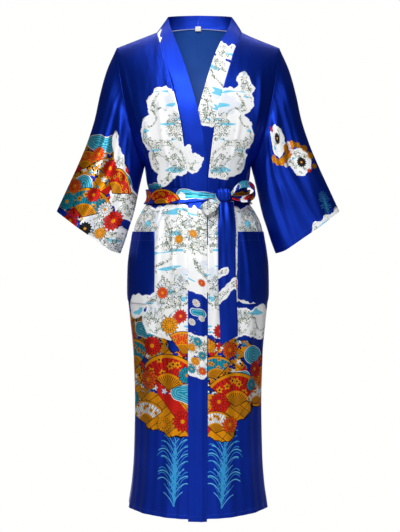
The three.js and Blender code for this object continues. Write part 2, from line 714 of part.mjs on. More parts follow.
// The belt goes all round the waist and is bunched narrower where the knot sits on it.
function addBelt() {
  const grid = [];
  for (let j = BELT_COLUMNS; j >= 0; j--) {
    const across = j / BELT_COLUMNS - 0.5;
    const pleat = j % 2 ? BELT_PLEAT : 0;
    const points = [];
    for (let i = 0; i < BELT_STEPS; i++) {
      const fromKnot = Math.min(i, BELT_STEPS - i) / BELT_STEPS;
      const height = mix(BELT_HEIGHT_AT_KNOT, BELT_HEIGHT, ease(BUNCHED.whole, BUNCHED.none, fromKnot));
      const angle = KNOT_ANGLE + (360 * i) / BELT_STEPS;
      const z = BELT_Z + across * height;
      points.push(bodyPoint(angle, z, topEdge(0, false), BELT_CLEARANCE + BELT_CLOTH + pleat));
    }
    grid.push(points);
  }
  const normals = gridNormals(grid, true, -1);
  addPiece("belt_wrap", wallGeometry(grid, normals, BELT_CLOTH, true, -1), SASH_SATIN);
}

// A hanging end of the sash: it falls from the knot and lies down the front of the skirt, made from the
// panel's own points, moved out. "slant" is how much lower its outer corner ends.
function addTail(name, material, { topX, bottomX, topZ, bottomZ, clear, reach, slant, width, rows }) {
  const grid = [];
  for (let i = 0; i <= rows; i++) {
    const down = i / rows;
    const wide = width * mix(0.72, 1, ease(0, 0.2, down));
    const points = [];
    for (let j = 0; j <= TAIL_COLUMNS; j++) {
      const across = j / TAIL_COLUMNS - 0.5;
      const z = mix(topZ, bottomZ - slant * across, down);
      const point = frontPoint(mix(topX, bottomX, down) - wide * across, z, clear + SASH_CLOTH);
      point.y -= reach * (1 - ease(0, 0.4, down)) * (1 - across * across);
      points.push(point);
    }
    grid.push(points);
  }
  const normals = gridNormals(grid, false, 1);
  addPiece(name, wallGeometry(grid, normals, SASH_CLOTH, false, 1), material);
}

// A loop of the bow: it follows a rounded path out from the knot and back to it.
function addLoop(name, material, { path, across, width, steps }) {
  const curve = new THREE.CatmullRomCurve3(path.map((p) => new THREE.Vector3(p.x, p.y, p.z)));
  const direction = new THREE.Vector3(across.x, across.y, across.z).normalize();
  const grid = [];
  for (let i = 0; i <= steps; i++) {
    const share = i / steps;
    const wide = width * mix(0.5, 1, ease(0, 0.25, Math.min(share, 1 - share)));
    const points = [];
    for (let j = 0; j <= 2; j++)
      points.push(curve.getPointAt(share).addScaledVector(direction, (j / 2 - 0.5) * wide));
    grid.push(points);
  }
  const normals = gridNormals(grid, false, 1);
  addPiece(name, wallGeometry(grid, normals, SASH_CLOTH, false, 1), material);
}

function addKnot() {
  const geometry = new THREE.SphereGeometry(1, 20, 12);
  geometry.deleteAttribute("normal");
  geometry.deleteAttribute("uv");
  const position = geometry.getAttribute("position");
  const point = new THREE.Vector3();
  for (let i = 0; i < position.count; i++) {
    point.fromBufferAttribute(position, i);
    const around = Math.atan2(point.z, point.x);
    const pinch = 1 + 0.06 * Math.cos(6 * around) * (1 - Math.abs(point.y));
    position.setXYZ(
      i,
      KNOT_CENTRE.x + KNOT_HALF.x * point.x * pinch,
      KNOT_CENTRE.y + KNOT_HALF.y * point.y,
      KNOT_CENTRE.z + KNOT_HALF.z * point.z * pinch,
    );
  }
  addPiece("belt_knot", geometry, BLUE_SATIN);
}

function addLabel() {
  const plate = new THREE.BoxGeometry(LABEL.width, LABEL.thickness, LABEL.height);
  const seatY = NECK_BACK_Y - BAND_CLOTH - SEAM_GAP;
  plate.translate(0, seatY - LABEL.thickness / 2, NECK_Z + NECK_BACK_RISE);
  addPiece("neck_label", plate, LABEL_CLOTH);
}

addBack();
addFront("right_front", -1);
addFront("left_front", 1);
addSleeve("right_sleeve", -1);
addSleeve("left_sleeve", 1);
addBand("right_band", -1);
addBand("left_band", 1);
addPocket("right_pocket", -1, RIGHT_POCKET_X);
addPocket("left_pocket", 1, LEFT_POCKET_X);
addBelt();
addKnot();
addTail("belt_tail_over", BLUE_SATIN, TAIL_OVER);
addTail("belt_tail_under", PRINTED_SATIN, TAIL_UNDER);
addLoop("belt_bow", SASH_SATIN, BOW_LOOP);
addLoop("belt_fold", PRINTED_SATIN, FOLDED_END);
addLabel();

export default robe;
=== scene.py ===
"""The looks of a long satin kimono robe: its panels, band, sleeves, pockets and tied sash as printed satin.

Metres. +X is the wearer's left, -Y the front and +Z up. A piece's cut coordinates are the distance across its
cloth and the height or length along it, and the print is placed in them.
"""

import math

import bpy
import numpy as np
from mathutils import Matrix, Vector


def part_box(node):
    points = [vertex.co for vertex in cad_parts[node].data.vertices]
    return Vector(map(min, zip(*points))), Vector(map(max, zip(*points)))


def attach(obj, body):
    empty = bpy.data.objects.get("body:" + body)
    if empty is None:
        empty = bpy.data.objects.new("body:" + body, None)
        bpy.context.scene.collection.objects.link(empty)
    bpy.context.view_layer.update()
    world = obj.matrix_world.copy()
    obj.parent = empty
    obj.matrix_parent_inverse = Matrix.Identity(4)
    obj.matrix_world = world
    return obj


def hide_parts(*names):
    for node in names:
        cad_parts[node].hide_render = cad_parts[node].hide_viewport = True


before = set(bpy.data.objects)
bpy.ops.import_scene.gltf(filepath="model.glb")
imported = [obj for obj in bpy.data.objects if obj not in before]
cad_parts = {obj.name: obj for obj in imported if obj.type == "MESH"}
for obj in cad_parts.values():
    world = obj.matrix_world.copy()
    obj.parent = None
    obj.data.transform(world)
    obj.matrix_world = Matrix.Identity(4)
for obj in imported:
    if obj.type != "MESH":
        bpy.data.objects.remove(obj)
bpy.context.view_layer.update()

MM = 0.001

# Landmarks of the cut
NECK_Z = 0.003
SHOULDER_TIP_Z = -0.041
ARMPIT_Z = -0.362
BELT_Z = -0.446
HEM_Z = -1.280
NECK_X = 0.111
SHOULDER_TIP_X = 0.221
SHOULDER_Y = 0.008
NECK_BACK_Y = 0.064
NECK_BACK_RISE = 0.021
ARMHOLE_ANGLE = 62
BODY_AXIS_Y = 0.010

# The share of the back panel's width that its neckline takes
NECK_SHARE = 6 / 14

# Satin, the double band and the sash as they are sewn
SATIN = 0.0007
BAND_SATIN = 0.0016
SASH_SATIN = 0.0012
BAND_STEP = 0.0008
BAND_DROP = 0.006
BAND_WIDTH = 0.049
OVERLAP_LIFT = 0.0032
HEM_DEPTH = 0.012
SEAM_COVER = 0.0007
OVERLAP_REACH = 0.2
CROSSING_Z = -0.215
CROSSING_END_Z = -0.110
BAND_LIES_Z = -0.160
BAND_STANDS_Z = -0.070
ROUNDING = 0.140
YOKE_EASE = 1.4
SHARP_ANGLE = 55

# The band's drop at the hem, its roll above the belt and how it meets the collar
BAND_DROP_HEIGHT = 0.2
BAND_ROLL = 0.0022
BAND_ROLL_AT = 0.72
BAND_ROLL_WIDTH = 0.12
BAND_ROLL_Z = (-0.50, -0.42)
COLLAR_STARTS_Z = -0.060
COLLAR_SEAM_GAP = 0.0004
NAPE_GAP = 0.00015
BAND_WAVE = 0.00045

# Where the robe isn't even: the collar's lean, the front hem's bow and the hanging cuffs
COLLAR_LEAN = 0.011
COLLAR_LEAN_X = 0.092
COLLAR_LEAN_REACH = 0.042
COLLAR_LEAN_Z = (-0.075, 0.020)
HEM_BOW = 0.0085
HEM_BOW_REACH = 0.17
HEM_BOW_HEIGHT = 0.3
HEM_BOW_DEPTH = 0.05
CUFF_DROP = 0.0085
CUFF_SPREAD = 0.003
CUFF_HANGS_X = (0.195, 0.235)
CUFF_HANGS_Z = (-0.60, -0.38)

# How finely the cloth is divided
FRONT_GRID = (250, 76)
BACK_GRID = (220, 150)
SLEEVE_GRID = (96, 132)
BAND_GRID = (300, 16)
COLLAR_ROWS = 40
POCKET_GRID = (56, 34)
BELT_GRID = (12, 300)
TAIL_GRID = (110, 14)
LOOP_GRID = (90, 12)
KNOT_GRID = (48, 96)
LABEL_GRID = (16, 18)
POCKET_CORNER_ROWS = 11
NECK_SEAM_POINTS = 160


def columns(names, *rows):
    """A table with named columns, each of them an array."""
    return dict(zip(names.split(), np.array(rows, float).T))


SECTIONS = columns(
    "z half_width front back square",
    (-1.280, 0.187, 0.119, 0.122, 0.90),
    (-1.215, 0.178, 0.114, 0.117, 0.90),
    (-1.142, 0.173, 0.111, 0.115, 0.90),
    (-1.013, 0.171, 0.110, 0.117, 0.90),
    (-0.880, 0.175, 0.113, 0.122, 0.90),
    (-0.780, 0.184, 0.118, 0.129, 0.90),
    (-0.700, 0.191, 0.122, 0.135, 0.88),
    (-0.640, 0.190, 0.121, 0.135, 0.88),
    (-0.585, 0.184, 0.117, 0.129, 0.86),
    (-0.527, 0.170, 0.110, 0.117, 0.84),
    (-0.485, 0.151, 0.102, 0.101, 0.82),
    (-0.446, 0.131, 0.092, 0.086, 0.80),
    (-0.400, 0.137, 0.097, 0.089, 0.80),
    (-0.362, 0.143, 0.103, 0.094, 0.78),
    (-0.300, 0.184, 0.112, 0.101, 0.86),
    (-0.230, 0.212, 0.116, 0.105, 0.90),
    (-0.150, 0.232, 0.109, 0.108, 0.90),
    (-0.080, 0.244, 0.094, 0.104, 0.90),
    (0.000, 0.250, 0.074, 0.097, 0.90),
    (0.040, 0.250, 0.066, 0.092, 0.90),
)
ARMHOLE = columns(
    "z x angle",
    (-0.362, 0.143, 90),
    (-0.340, 0.157, 80),
    (-0.310, 0.1685, 72),
    (-0.262, 0.181, 65),
    (-0.181, 0.198, 62.5),
    (-0.041, 0.221, 62),
)
FRONT_EDGE = columns(
    "z x",
    (-1.280, 0.025),
    (-0.415, 0.0255),
    (-0.370, 0.029),
    (-0.312, 0.036),
    (-0.254, 0.044),
    (-0.175, 0.062),
    (-0.086, 0.087),
    (-0.045, 0.098),
    (-0.015, 0.107),
    (0.003, 0.111),
)
FREE_EDGE = columns(
    "seam_z x z y stand",
    (-1.280, 0.0235, -1.280, 0, 0),
    (-0.414, 0.0235, -0.414, 0, 0),
    (-0.370, 0.022, -0.357, 0, 0),
    (-0.312, 0.0155, -0.301, 0, 0),
    (-0.254, 0.0046, -0.243, 0, 0),
    (-0.175, -0.0165, -0.163, -0.108, 0),
    (-0.130, -0.030, -0.117, -0.097, 0.3),
    (-0.086, -0.045, -0.070, -0.077, 1),
    (-0.045, -0.062, -0.022, -0.046, 1),
    (-0.020, -0.071, 0.004, -0.025, 1),
    (-0.006, -0.077, 0.024, -0.005, 1),
    (0.003, -0.082, 0.047, 0.014, 1),
)
COLLAR_TOP = columns(
    "share x y z",
    (0.0, 0.082, 0.014, 0.047),
    (0.2, 0.079, 0.034, 0.052),
    (0.45, 0.064, 0.058, 0.058),
    (0.7, 0.038, 0.074, 0.062),
    (1.0, 0.000, 0.080, 0.064),
)
SLEEVE = columns(
    "along top_x top_z under_x under_z half_depth",
    (0.00, 0.221, -0.041, 0.143, -0.362, 0.056),
    (0.15, 0.249, -0.105, 0.1525, -0.397, 0.054),
    (0.30, 0.267, -0.170, 0.1605, -0.430, 0.051),
    (0.45, 0.281, -0.235, 0.168, -0.465, 0.048),
    (0.60, 0.302, -0.300, 0.176, -0.497, 0.046),
    (0.75, 0.329, -0.365, 0.187, -0.530, 0.045),
    (0.90, 0.362, -0.436, 0.199, -0.568, 0.044),
    (1.00, 0.383, -0.481, 0.210, -0.597, 0.043),
)

# Folds of the body: from "top" down to "bottom", "width" in degrees round the body and "depth" outwards.
# A bottom below the hem is a fold that runs out of it.
BODY_FOLDS = columns(
    "top bottom angle_top angle_bottom width depth",
    (-0.700, -1.42, -20, -27, 7, 0.006),
    (-0.640, -1.42, -44, -50, 8, 0.007),
    (-0.760, -1.42, -68, -74, 8, 0.006),
    (-0.740, -1.42, 24, 28, 7, 0.005),
    (-0.650, -1.42, 46, 53, 8, 0.007),
    (-0.760, -1.42, 70, 76, 8, 0.006),
    (-0.600, -1.42, 108, 103, 8, 0.007),
    (-0.660, -1.42, 132, 129, 8, 0.008),
    (-0.620, -1.42, 156, 155, 8, 0.007),
    (-0.640, -1.42, 180, 182, 8, 0.008),
    (-0.600, -1.42, -154, -152, 8, 0.007),
    (-0.670, -1.42, -130, -126, 8, 0.008),
    (-0.610, -1.42, -107, -102, 8, 0.007),
    (-0.120, -0.40, -50, -40, 7, 0.004),
    (-0.110, -0.40, 52, 40, 7, 0.004),
    (-0.090, -0.42, 140, 150, 8, 0.005),
    (-0.090, -0.42, -142, -150, 8, 0.005),
)
# Finer creases of the satin, placed on the front and alike on the back
BODY_CREASES = columns(
    "top bottom angle_top angle_bottom width depth",
    (-0.150, -0.395, -26, -33, 2.2, 0.0020),
    (-0.230, -0.400, -42, -46, 1.9, 0.0026),
    (-0.060, -0.300, -58, -50, 2.6, 0.0024),
    (-0.200, -0.400, 31, 36, 2.2, 0.0022),
    (-0.090, -0.330, 44, 52, 2.6, 0.0024),
    (-0.250, -0.400, 58, 50, 2.0, 0.0026),
    (-0.470, -0.760, -24, -17, 1.9, 0.0026),
    (-0.470, -0.700, -37, -33, 2.1, 0.0030),
    (-0.480, -0.660, -56, -58, 2.0, 0.0026),
    (-0.480, -0.900, 17, 13, 1.8, 0.0022),
    (-0.470, -0.740, 40, 46, 2.2, 0.0028),
    (-0.480, -0.680, 62, 66, 2.0, 0.0026),
    (-0.820, -1.42, -35, -38, 4.4, 0.0030),
    (-0.930, -1.42, -60, -62, 4.8, 0.0034),
    (-0.860, -1.42, -13, -15, 3.6, 0.0024),
    (-0.960, -1.42, 14, 17, 3.8, 0.0026),
    (-0.840, -1.42, 38, 40, 4.6, 0.0030),
    (-0.900, -1.42, 63, 64, 4.8, 0.0034),
    (-0.100, -0.380, 118, 128, 2.6, 0.0030),
    (-0.140, -0.400, 165, 170, 2.4, 0.0026),
    (-0.110, -0.390, -120, -131, 2.6, 0.0030),
    (-0.160, -0.400, -168, -172, 2.4, 0.0026),
    (-0.480, -0.880, 120, 117, 2.4, 0.0032),
    (-0.480, -0.800, 144, 142, 2.2, 0.0030),
    (-0.480, -0.960, 168, 168, 2.4, 0.0032),
    (-0.480, -0.840, -166, -167, 2.4, 0.0030),
    (-0.480, -0.900, -142, -140, 2.2, 0.0032),
    (-0.480, -0.820, -118, -115, 2.4, 0.0030),
)
FOLD_FADE = 0.130
CREASE_FADE = 0.070

# Gathers above and below the belt, as in the panels' cut, and the finer ones between them
GATHERS = {"first": -78, "pitch": 18, "count": 20, "width": 5, "depth": 0.0034, "up": 0.095, "down": 0.120}
FINE_GATHERS = {
    "first": -86, "pitch": 7.3, "count": 49, "width": 1.7, "depth": 0.0026, "up": 0.060, "down": 0.085,
}
GATHER_FREE_ANGLE = 17
GATHER_FADE = 0.060
FINE_GATHER_FADE = 0.045
BELT_PRESS = 0.85
BELT_PRESS_REACH = 0.046

SLEEVE_FOLDS = columns(
    "round0 round1 start end width depth",
    (0.30, 0.20, -0.20, 0.9, 0.090, 0.0075),
    (0.62, 0.42, -0.10, 1.3, 0.080, 0.0090),
    (0.86, 0.74, 0.05, 1.4, 0.070, 0.0075),
    (-0.80, -0.70, 0.05, 1.4, 0.080, 0.0075),
    (-0.55, -0.40, -0.10, 1.3, 0.080, 0.0090),
    (-0.25, -0.18, -0.10, 1.0, 0.080, 0.0075),
    (0.16, 0.10, 0.02, 0.62, 0.040, 0.0032),
    (0.44, 0.27, 0.00, 0.75, 0.038, 0.0034),
    (0.74, 0.55, -0.05, 0.80, 0.036, 0.0040),
    (0.93, 0.83, -0.10, 0.60, 0.032, 0.0038),
    (0.34, 0.33, 0.55, 1.4, 0.044, 0.0026),
    (0.60, 0.63, 0.50, 1.4, 0.044, 0.0026),
    (-0.14, -0.10, 0.05, 0.70, 0.040, 0.0032),
    (-0.42, -0.28, 0.00, 0.80, 0.040, 0.0034),
    (-0.70, -0.54, -0.05, 0.85, 0.038, 0.0038),
    (-0.92, -0.84, -0.10, 0.70, 0.034, 0.0038),
)
SLEEVE_FADE = 0.22
SLEEVE_FIT = 2.2
SLEEVE_SQUARE = 0.85
SLEEVE_LENGTH = 0.47
SLEEVE_HALF_GIRTH = 0.24
SLEEVE_SLOPE = (0.345, -0.938)
SLEEVE_FULLNESS = 1.06
ARMHOLE_GAP = 0.0004

# Pockets
POCKET_TOP_Z = -0.540
POCKET_HEIGHT = 0.190
POCKET_OUTER_ANGLE = 84
POCKET_CORNER = 0.022
POCKET_LIFT = 0.0022
POCKET_MOUTH = 0.0028
POCKET_MOUTH_DEPTH = 0.045
POCKET_HEM = 0.024
POCKET_CUT_START = 0.002
RIGHT_POCKET_X = 0.113
LEFT_POCKET_X = 0.103

# The sash
BELT_HEIGHT = 0.038
BELT_HEIGHT_AT_KNOT = 0.020
BUNCHED = (0.02, 0.15)
BELT_LIFT = 0.0082
KNOT_ANGLE = 30
KNOT_CENTRE = (0.066, -0.1069, -0.444)
KNOT_HALF = (0.021, 0.013, 0.018)
SASH_WIDTH = 0.045
WRAP_LENGTH = 0.76
WRAP_PLEATS = 3.2
WRAP_PLEAT_AT_KNOT = 0.0026
WRAP_PLEAT = 0.0010
TAIL_PLEAT = 0.0044
TAIL_CREASE = 0.0016
TAIL_SWAY = 0.0015
LOOP_PLEAT = 0.0012
KNOT_SQUARE = 0.62
KNOT_SIZE = (0.86, 0.12)

# Stitches: pitch, length and radius, and how far they stand off the cloth
HEM_STITCH = (0.0032, 0.0025, 0.00026)
TOP_STITCH = (0.0032, 0.0025, 0.00028)
OVERLOCK_STITCH = (0.0015, 0.0024, 0.00055)
STITCH_LIFT = 0.0001
# A stitch's rings, as (place along it, share of its radius), and the sides of each
SPINDLE = ((-0.5, 0.35), (-0.25, 1.0), (0.25, 1.0), (0.5, 0.35))
SPINDLE_SIDES = 6


def mix(a, b, share):
    """From a at share 0 to b at share 1, in a straight line."""
    return a + (b - a) * share


def ease(low, high, x):
    """0 below low, 1 above high, and 3t^2 - 2t^3 between."""
    t = np.clip((x - low) / (high - low), 0, 1)
    return t * t * (3 - 2 * t)


def look_up(table, by, column, at):
    """A column at a place: cubic Hermite pieces with harmonic means as tangents, so they don't overshoot."""
    x, y = table[by], table[column]
    slope = np.diff(y) / np.diff(x)
    before, after = slope[:-1], slope[1:]
    total = np.where(before * after > 0, before + after, 1)
    inner = np.where(before * after > 0, 2 * before * after / total, 0)
    tangent = np.concatenate([slope[:1], inner, slope[-1:]])
    at = np.clip(at, x[0], x[-1])
    i = np.clip(np.searchsorted(x, at, side="right") - 1, 0, len(x) - 2)
    step = x[i + 1] - x[i]
    t = (at - x[i]) / step
    return (
        (2 * t**3 - 3 * t**2 + 1) * y[i]
        + (t**3 - 2 * t**2 + t) * step * tangent[i]
        + (3 * t**2 - 2 * t**3) * y[i + 1]
        + (t**3 - t**2) * step * tangent[i + 1]
    )


def rows_of(table):
    """The rows of a table, one dictionary each."""
    names = list(table)
    return [dict(zip(names, values)) for values in zip(*table.values())]


def gather_rows(spec, fade):
    """Gathers round the belt: evenly pitched angles moved by a sum of sines, uneven in length and depth."""
    i = np.arange(spec["count"])
    uneven = np.sin(i * 2.4) + 0.5 * np.sin(i * 5.1 + 1)
    angle = spec["first"] + i * spec["pitch"] + 0.13 * spec["pitch"] * uneven
    return {
        "top": BELT_Z + spec["up"] * (1 + 0.25 * np.sin(i * 1.7)),
        "bottom": BELT_Z - spec["down"] * (1 + 0.3 * np.sin(i * 2.9 + 2)),
        "angle_top": angle * 1.03,
        "angle_bottom": angle * 0.97,
        "width": np.full(len(i), float(spec["width"])),
        "depth": spec["depth"] * (1 + 0.3 * uneven) * (np.abs(angle) > GATHER_FREE_ANGLE),
        "fade": np.full(len(i), fade),
    }


def all_folds():
    """Every fold of the body as rows: the large ones, the creases and both sets of gathers."""
    large = {**BODY_FOLDS, "fade": np.full(len(BODY_FOLDS["top"]), FOLD_FADE)}
    creases = {**BODY_CREASES, "fade": np.full(len(BODY_CREASES["top"]), CREASE_FADE)}
    sets = [large, creases, gather_rows(GATHERS, GATHER_FADE), gather_rows(FINE_GATHERS, FINE_GATHER_FADE)]
    return [row for folds in sets for row in rows_of(folds)]


ALL_FOLDS = all_folds()


def relief(angle, z):
    """How far the cloth stands out: each fold is a Gaussian ridge round a line that leans from its top to its
    bottom and fades at both ends. Near the belt the sum is pressed flat."""
    out = np.zeros(np.broadcast(angle, z).shape)
    for fold in ALL_FOLDS:
        share = np.clip((fold["top"] - z) / (fold["top"] - fold["bottom"]), 0, 1)
        middle = mix(fold["angle_top"], fold["angle_bottom"], share)
        away = (angle - middle + 540) % 360 - 180
        ends = ease(fold["bottom"], fold["bottom"] + fold["fade"], z)
        ends = ends * (1 - ease(fold["top"] - fold["fade"], fold["top"], z))
        out += fold["depth"] * np.exp(-((away / fold["width"]) ** 2)) * ends
    return out * (1 - BELT_PRESS * np.exp(-(((z - BELT_Z) / BELT_PRESS_REACH) ** 2)))


def half_width(z):
    """The section's half width. Above the armpit it follows from where the armhole's seam is."""
    angle = np.radians(look_up(ARMHOLE, "z", "angle", z))
    above = look_up(ARMHOLE, "z", "x", z) / np.sin(angle)
    return np.where(z <= ARMPIT_Z, look_up(SECTIONS, "z", "half_width", z), above)


def top_edge(x, behind):
    """(y, z) of the edge above a point: the shoulder's slope, or behind the neck a squared ellipse."""
    side = np.abs(x)
    share = np.clip((side - NECK_X) / (SHOULDER_TIP_X - NECK_X), 0, 1)
    y, z = mix(SHOULDER_Y, 0, share), mix(NECK_Z, SHOULDER_TIP_Z, share)
    if behind:
        near = np.clip(side / NECK_X, 0, 1)
        bow = (1 - near**2.6) ** 0.8
        y = np.where(side < NECK_X, mix(SHOULDER_Y, NECK_BACK_Y, bow), y)
        z = np.where(side < NECK_X, NECK_Z + NECK_BACK_RISE * (1 - near**2), z)
    return y, z


def body_point(angle, z, top, lift):
    """The body's surface, pushed out by its relief and by lift: a squared ellipse with x = W sin(a) and
    y = -D |cos(a)|^n, drawn in to the shoulder's slope within ROUNDING below it."""
    a = np.radians(angle)
    sin, cos = np.sin(a), np.cos(a)
    width = half_width(z)
    depth = np.where(cos >= 0, look_up(SECTIONS, "z", "front", z), look_up(SECTIONS, "z", "back", z))
    full = -np.sign(cos) * depth * np.abs(cos) ** look_up(SECTIONS, "z", "square", z)
    top_y, top_z = top
    out = relief(angle, z) * ease(0, ROUNDING, top_z - z) + lift
    normal = np.stack([sin / width, -cos / depth])
    normal = normal / np.linalg.norm(normal, axis=0)
    x = width * sin + normal[0] * out
    near = np.clip((top_z - z) / ROUNDING, 0, 1)
    behind = mix(0.9, 0.5, ease(0.070, 0.150, np.abs(x)))
    share = (1 - (1 - near) ** 2) ** np.where(cos < 0, behind, 0.5)
    return np.stack([x, mix(top_y, full + normal[1] * out, share), z + 0 * x], axis=-1)


def angle_at(x, z):
    """The angle round the body of a front point x from the middle line."""
    return np.degrees(np.arcsin(np.clip(x / half_width(z), -1, 1)))


def front_point(x, z, lift):
    """The point of the body's front at x and z, moved out by lift."""
    return body_point(angle_at(x, z), z, top_edge(x * 0, False), lift)


def overlap_lift(side, z):
    """How much further out the right front lies where it crosses the left one."""
    return OVERLAP_LIFT * (1 - ease(CROSSING_Z, CROSSING_END_Z, z)) * (side < 0)


def panel_rows(count):
    """(z, yoke) of each row of a panel: even steps of height to the armpit, then yoke from 0 to 1 at the
    shoulder, closer together towards it."""
    share = np.linspace(0, 1, count)
    split = 0.70
    z = np.where(share < split, mix(HEM_Z, ARMPIT_Z, share / split), ARMPIT_Z)
    over = np.clip((share - split) / (1 - split), 0, 1)
    return z, 1 - (1 - over) ** YOKE_EASE


def side_angle(yoke):
    """The angle of the side seam, or of the armhole's seam above the armpit."""
    seam = look_up(ARMHOLE, "z", "angle", mix(ARMPIT_Z, SHOULDER_TIP_Z, yoke))
    return np.where(yoke > 0, seam, 90)


def edge_height(z, yoke):
    """A row's height at the front edge: above the armpit the yoke runs up to the neck."""
    return np.where(yoke > 0, mix(ARMPIT_Z, NECK_Z, yoke), z)


def front_panel(side, across, z, yoke):
    """A front panel's points: the angle runs from the band's seam (across 0) to the side or armhole seam."""
    edge_z = edge_height(z, yoke)
    edge_x = look_up(FRONT_EDGE, "z", "x", edge_z)
    angle = mix(angle_at(edge_x, edge_z), side_angle(yoke), across)
    top_angle = mix(angle_at(NECK_X, np.array(NECK_Z)), ARMHOLE_ANGLE, across)
    top = top_edge(half_width(np.array(SHOULDER_TIP_Z)) * np.sin(np.radians(top_angle)), False)
    height = np.where(yoke > 0, mix(ARMPIT_Z, top[1], yoke), z)
    over = overlap_lift(side, height) * (1 - ease(0, OVERLAP_REACH, across))
    return body_point(side * angle, height, top, over)


def back_panel(across, z, yoke):
    """The back panel's points: across runs from -1 at the right side seam to 1 at the left one, and the
    neckline takes the middle of the top edge."""
    neck_angle = angle_at(NECK_X, np.array(SHOULDER_TIP_Z)) / ARMHOLE_ANGLE
    size = np.abs(across)
    outer = mix(neck_angle, 1, (size - NECK_SHARE) / (1 - NECK_SHARE))
    share = np.where(size <= NECK_SHARE, neck_angle * size / NECK_SHARE, outer)
    top_x = half_width(np.array(SHOULDER_TIP_Z)) * np.sin(np.radians(ARMHOLE_ANGLE * share))
    top = top_edge(top_x, True)
    height = np.where(yoke > 0, mix(ARMPIT_Z, top[1], yoke), z)
    side = np.where(across < 0, -1, 1)
    return body_point(side * (180 - side_angle(yoke) * share), height, top, 0)


def settle(points):
    """Where the robe departs from an even one: the collar leans to its left by a Gaussian of x, the front's
    hem bows down by a parabola of x, and the cuffs hang lower by an eased step of x and height."""
    x, y, z = np.moveaxis(points, -1, 0)
    lean = COLLAR_LEAN * np.exp(-(((x - COLLAR_LEAN_X) / COLLAR_LEAN_REACH) ** 2)) * ease(*COLLAR_LEAN_Z, z)
    arch = 1 - np.minimum(1, np.abs(x) / HEM_BOW_REACH) ** 2
    bow = HEM_BOW * arch * (1 - ease(HEM_Z, HEM_Z + HEM_BOW_HEIGHT, z)) * ease(0, HEM_BOW_DEPTH, -y)
    hang = ease(*CUFF_HANGS_X, np.abs(x)) * (1 - ease(*CUFF_HANGS_Z, z))
    side = CUFF_SPREAD * hang * np.sign(x)
    return points + np.stack([lean + side, 0 * x, -bow - CUFF_DROP * hang], axis=-1)


def body_axis(points):
    """The point of the garment's upright axis that is level with each point."""
    return points * (0, 0, 1) + (0, BODY_AXIS_Y, 0)


def arc_length(grid, axis):
    """The distance along a grid's rows or columns, from the first point of each."""
    steps = np.linalg.norm(np.diff(grid, axis=axis), axis=-1)
    start = np.zeros_like(np.take(steps, [0], axis=axis))
    return np.concatenate([start, np.cumsum(steps, axis=axis)], axis=axis)


def wall_normals(grid, wraps, centre):
    """Unit normals: the cross product of the differences across and along, turned away from the centre.
    Gives their sign too, which says which way round the faces go."""
    across = np.roll(grid, -1, 1) - np.roll(grid, 1, 1) if wraps else np.gradient(grid, axis=1)
    normals = np.cross(across, np.gradient(grid, axis=0))
    normals /= np.maximum(np.linalg.norm(normals, axis=-1, keepdims=True), 1e-12)
    sign = 1 if (normals * (grid - centre)).sum() > 0 else -1
    return normals * sign, sign


def wall_faces(rows, count, wraps):
    """Quads of a closed wall and where each corner reads its values. The outer layer comes first, then the
    inner one and the rims. A column past the last wraps to the first as a vertex, but not as a value."""
    spans = np.arange(rows - 1), np.arange(count - (not wraps))
    i, j = (a.ravel() for a in np.meshgrid(*spans, indexing="ij"))
    quad = np.stack([np.stack([i, j]), np.stack([i, j + 1]), np.stack([i + 1, j + 1]), np.stack([i + 1, j])])
    layers = [(quad, np.zeros(4, int)), (quad[::-1], np.ones(4, int))]
    lower = np.arange(count - (not wraps))
    for row, order in ((0, 1), (rows - 1, -1)):
        line = np.stack([np.full_like(lower, row), lower])
        following = line + [[0], [1]]
        rim = np.stack([line, line, following, following])
        layers.append((rim[::order], np.array([0, 1, 1, 0])[::order]))
    if not wraps:
        lower = np.arange(rows - 1)
        for column, order in ((0, -1), (count - 1, 1)):
            line = np.stack([lower, np.full_like(lower, column)])
            following = line + [[1], [0]]
            rim = np.stack([line, line, following, following])
            layers.append((rim[::order], np.array([0, 1, 1, 0])[::order]))
    vertex, value, layer = [], [], []
    for k, (corners, inner) in enumerate(layers):
        row, column = corners[:, 0], corners[:, 1]
        vertex.append((row * count + column % count + inner[:, None] * rows * count).T)
        value.append((row * (count + 1) + column).T)
        layer.append(np.full(corners.shape[2], k == 1))
    return np.concatenate(vertex), np.concatenate(value), np.concatenate(layer).astype(int)


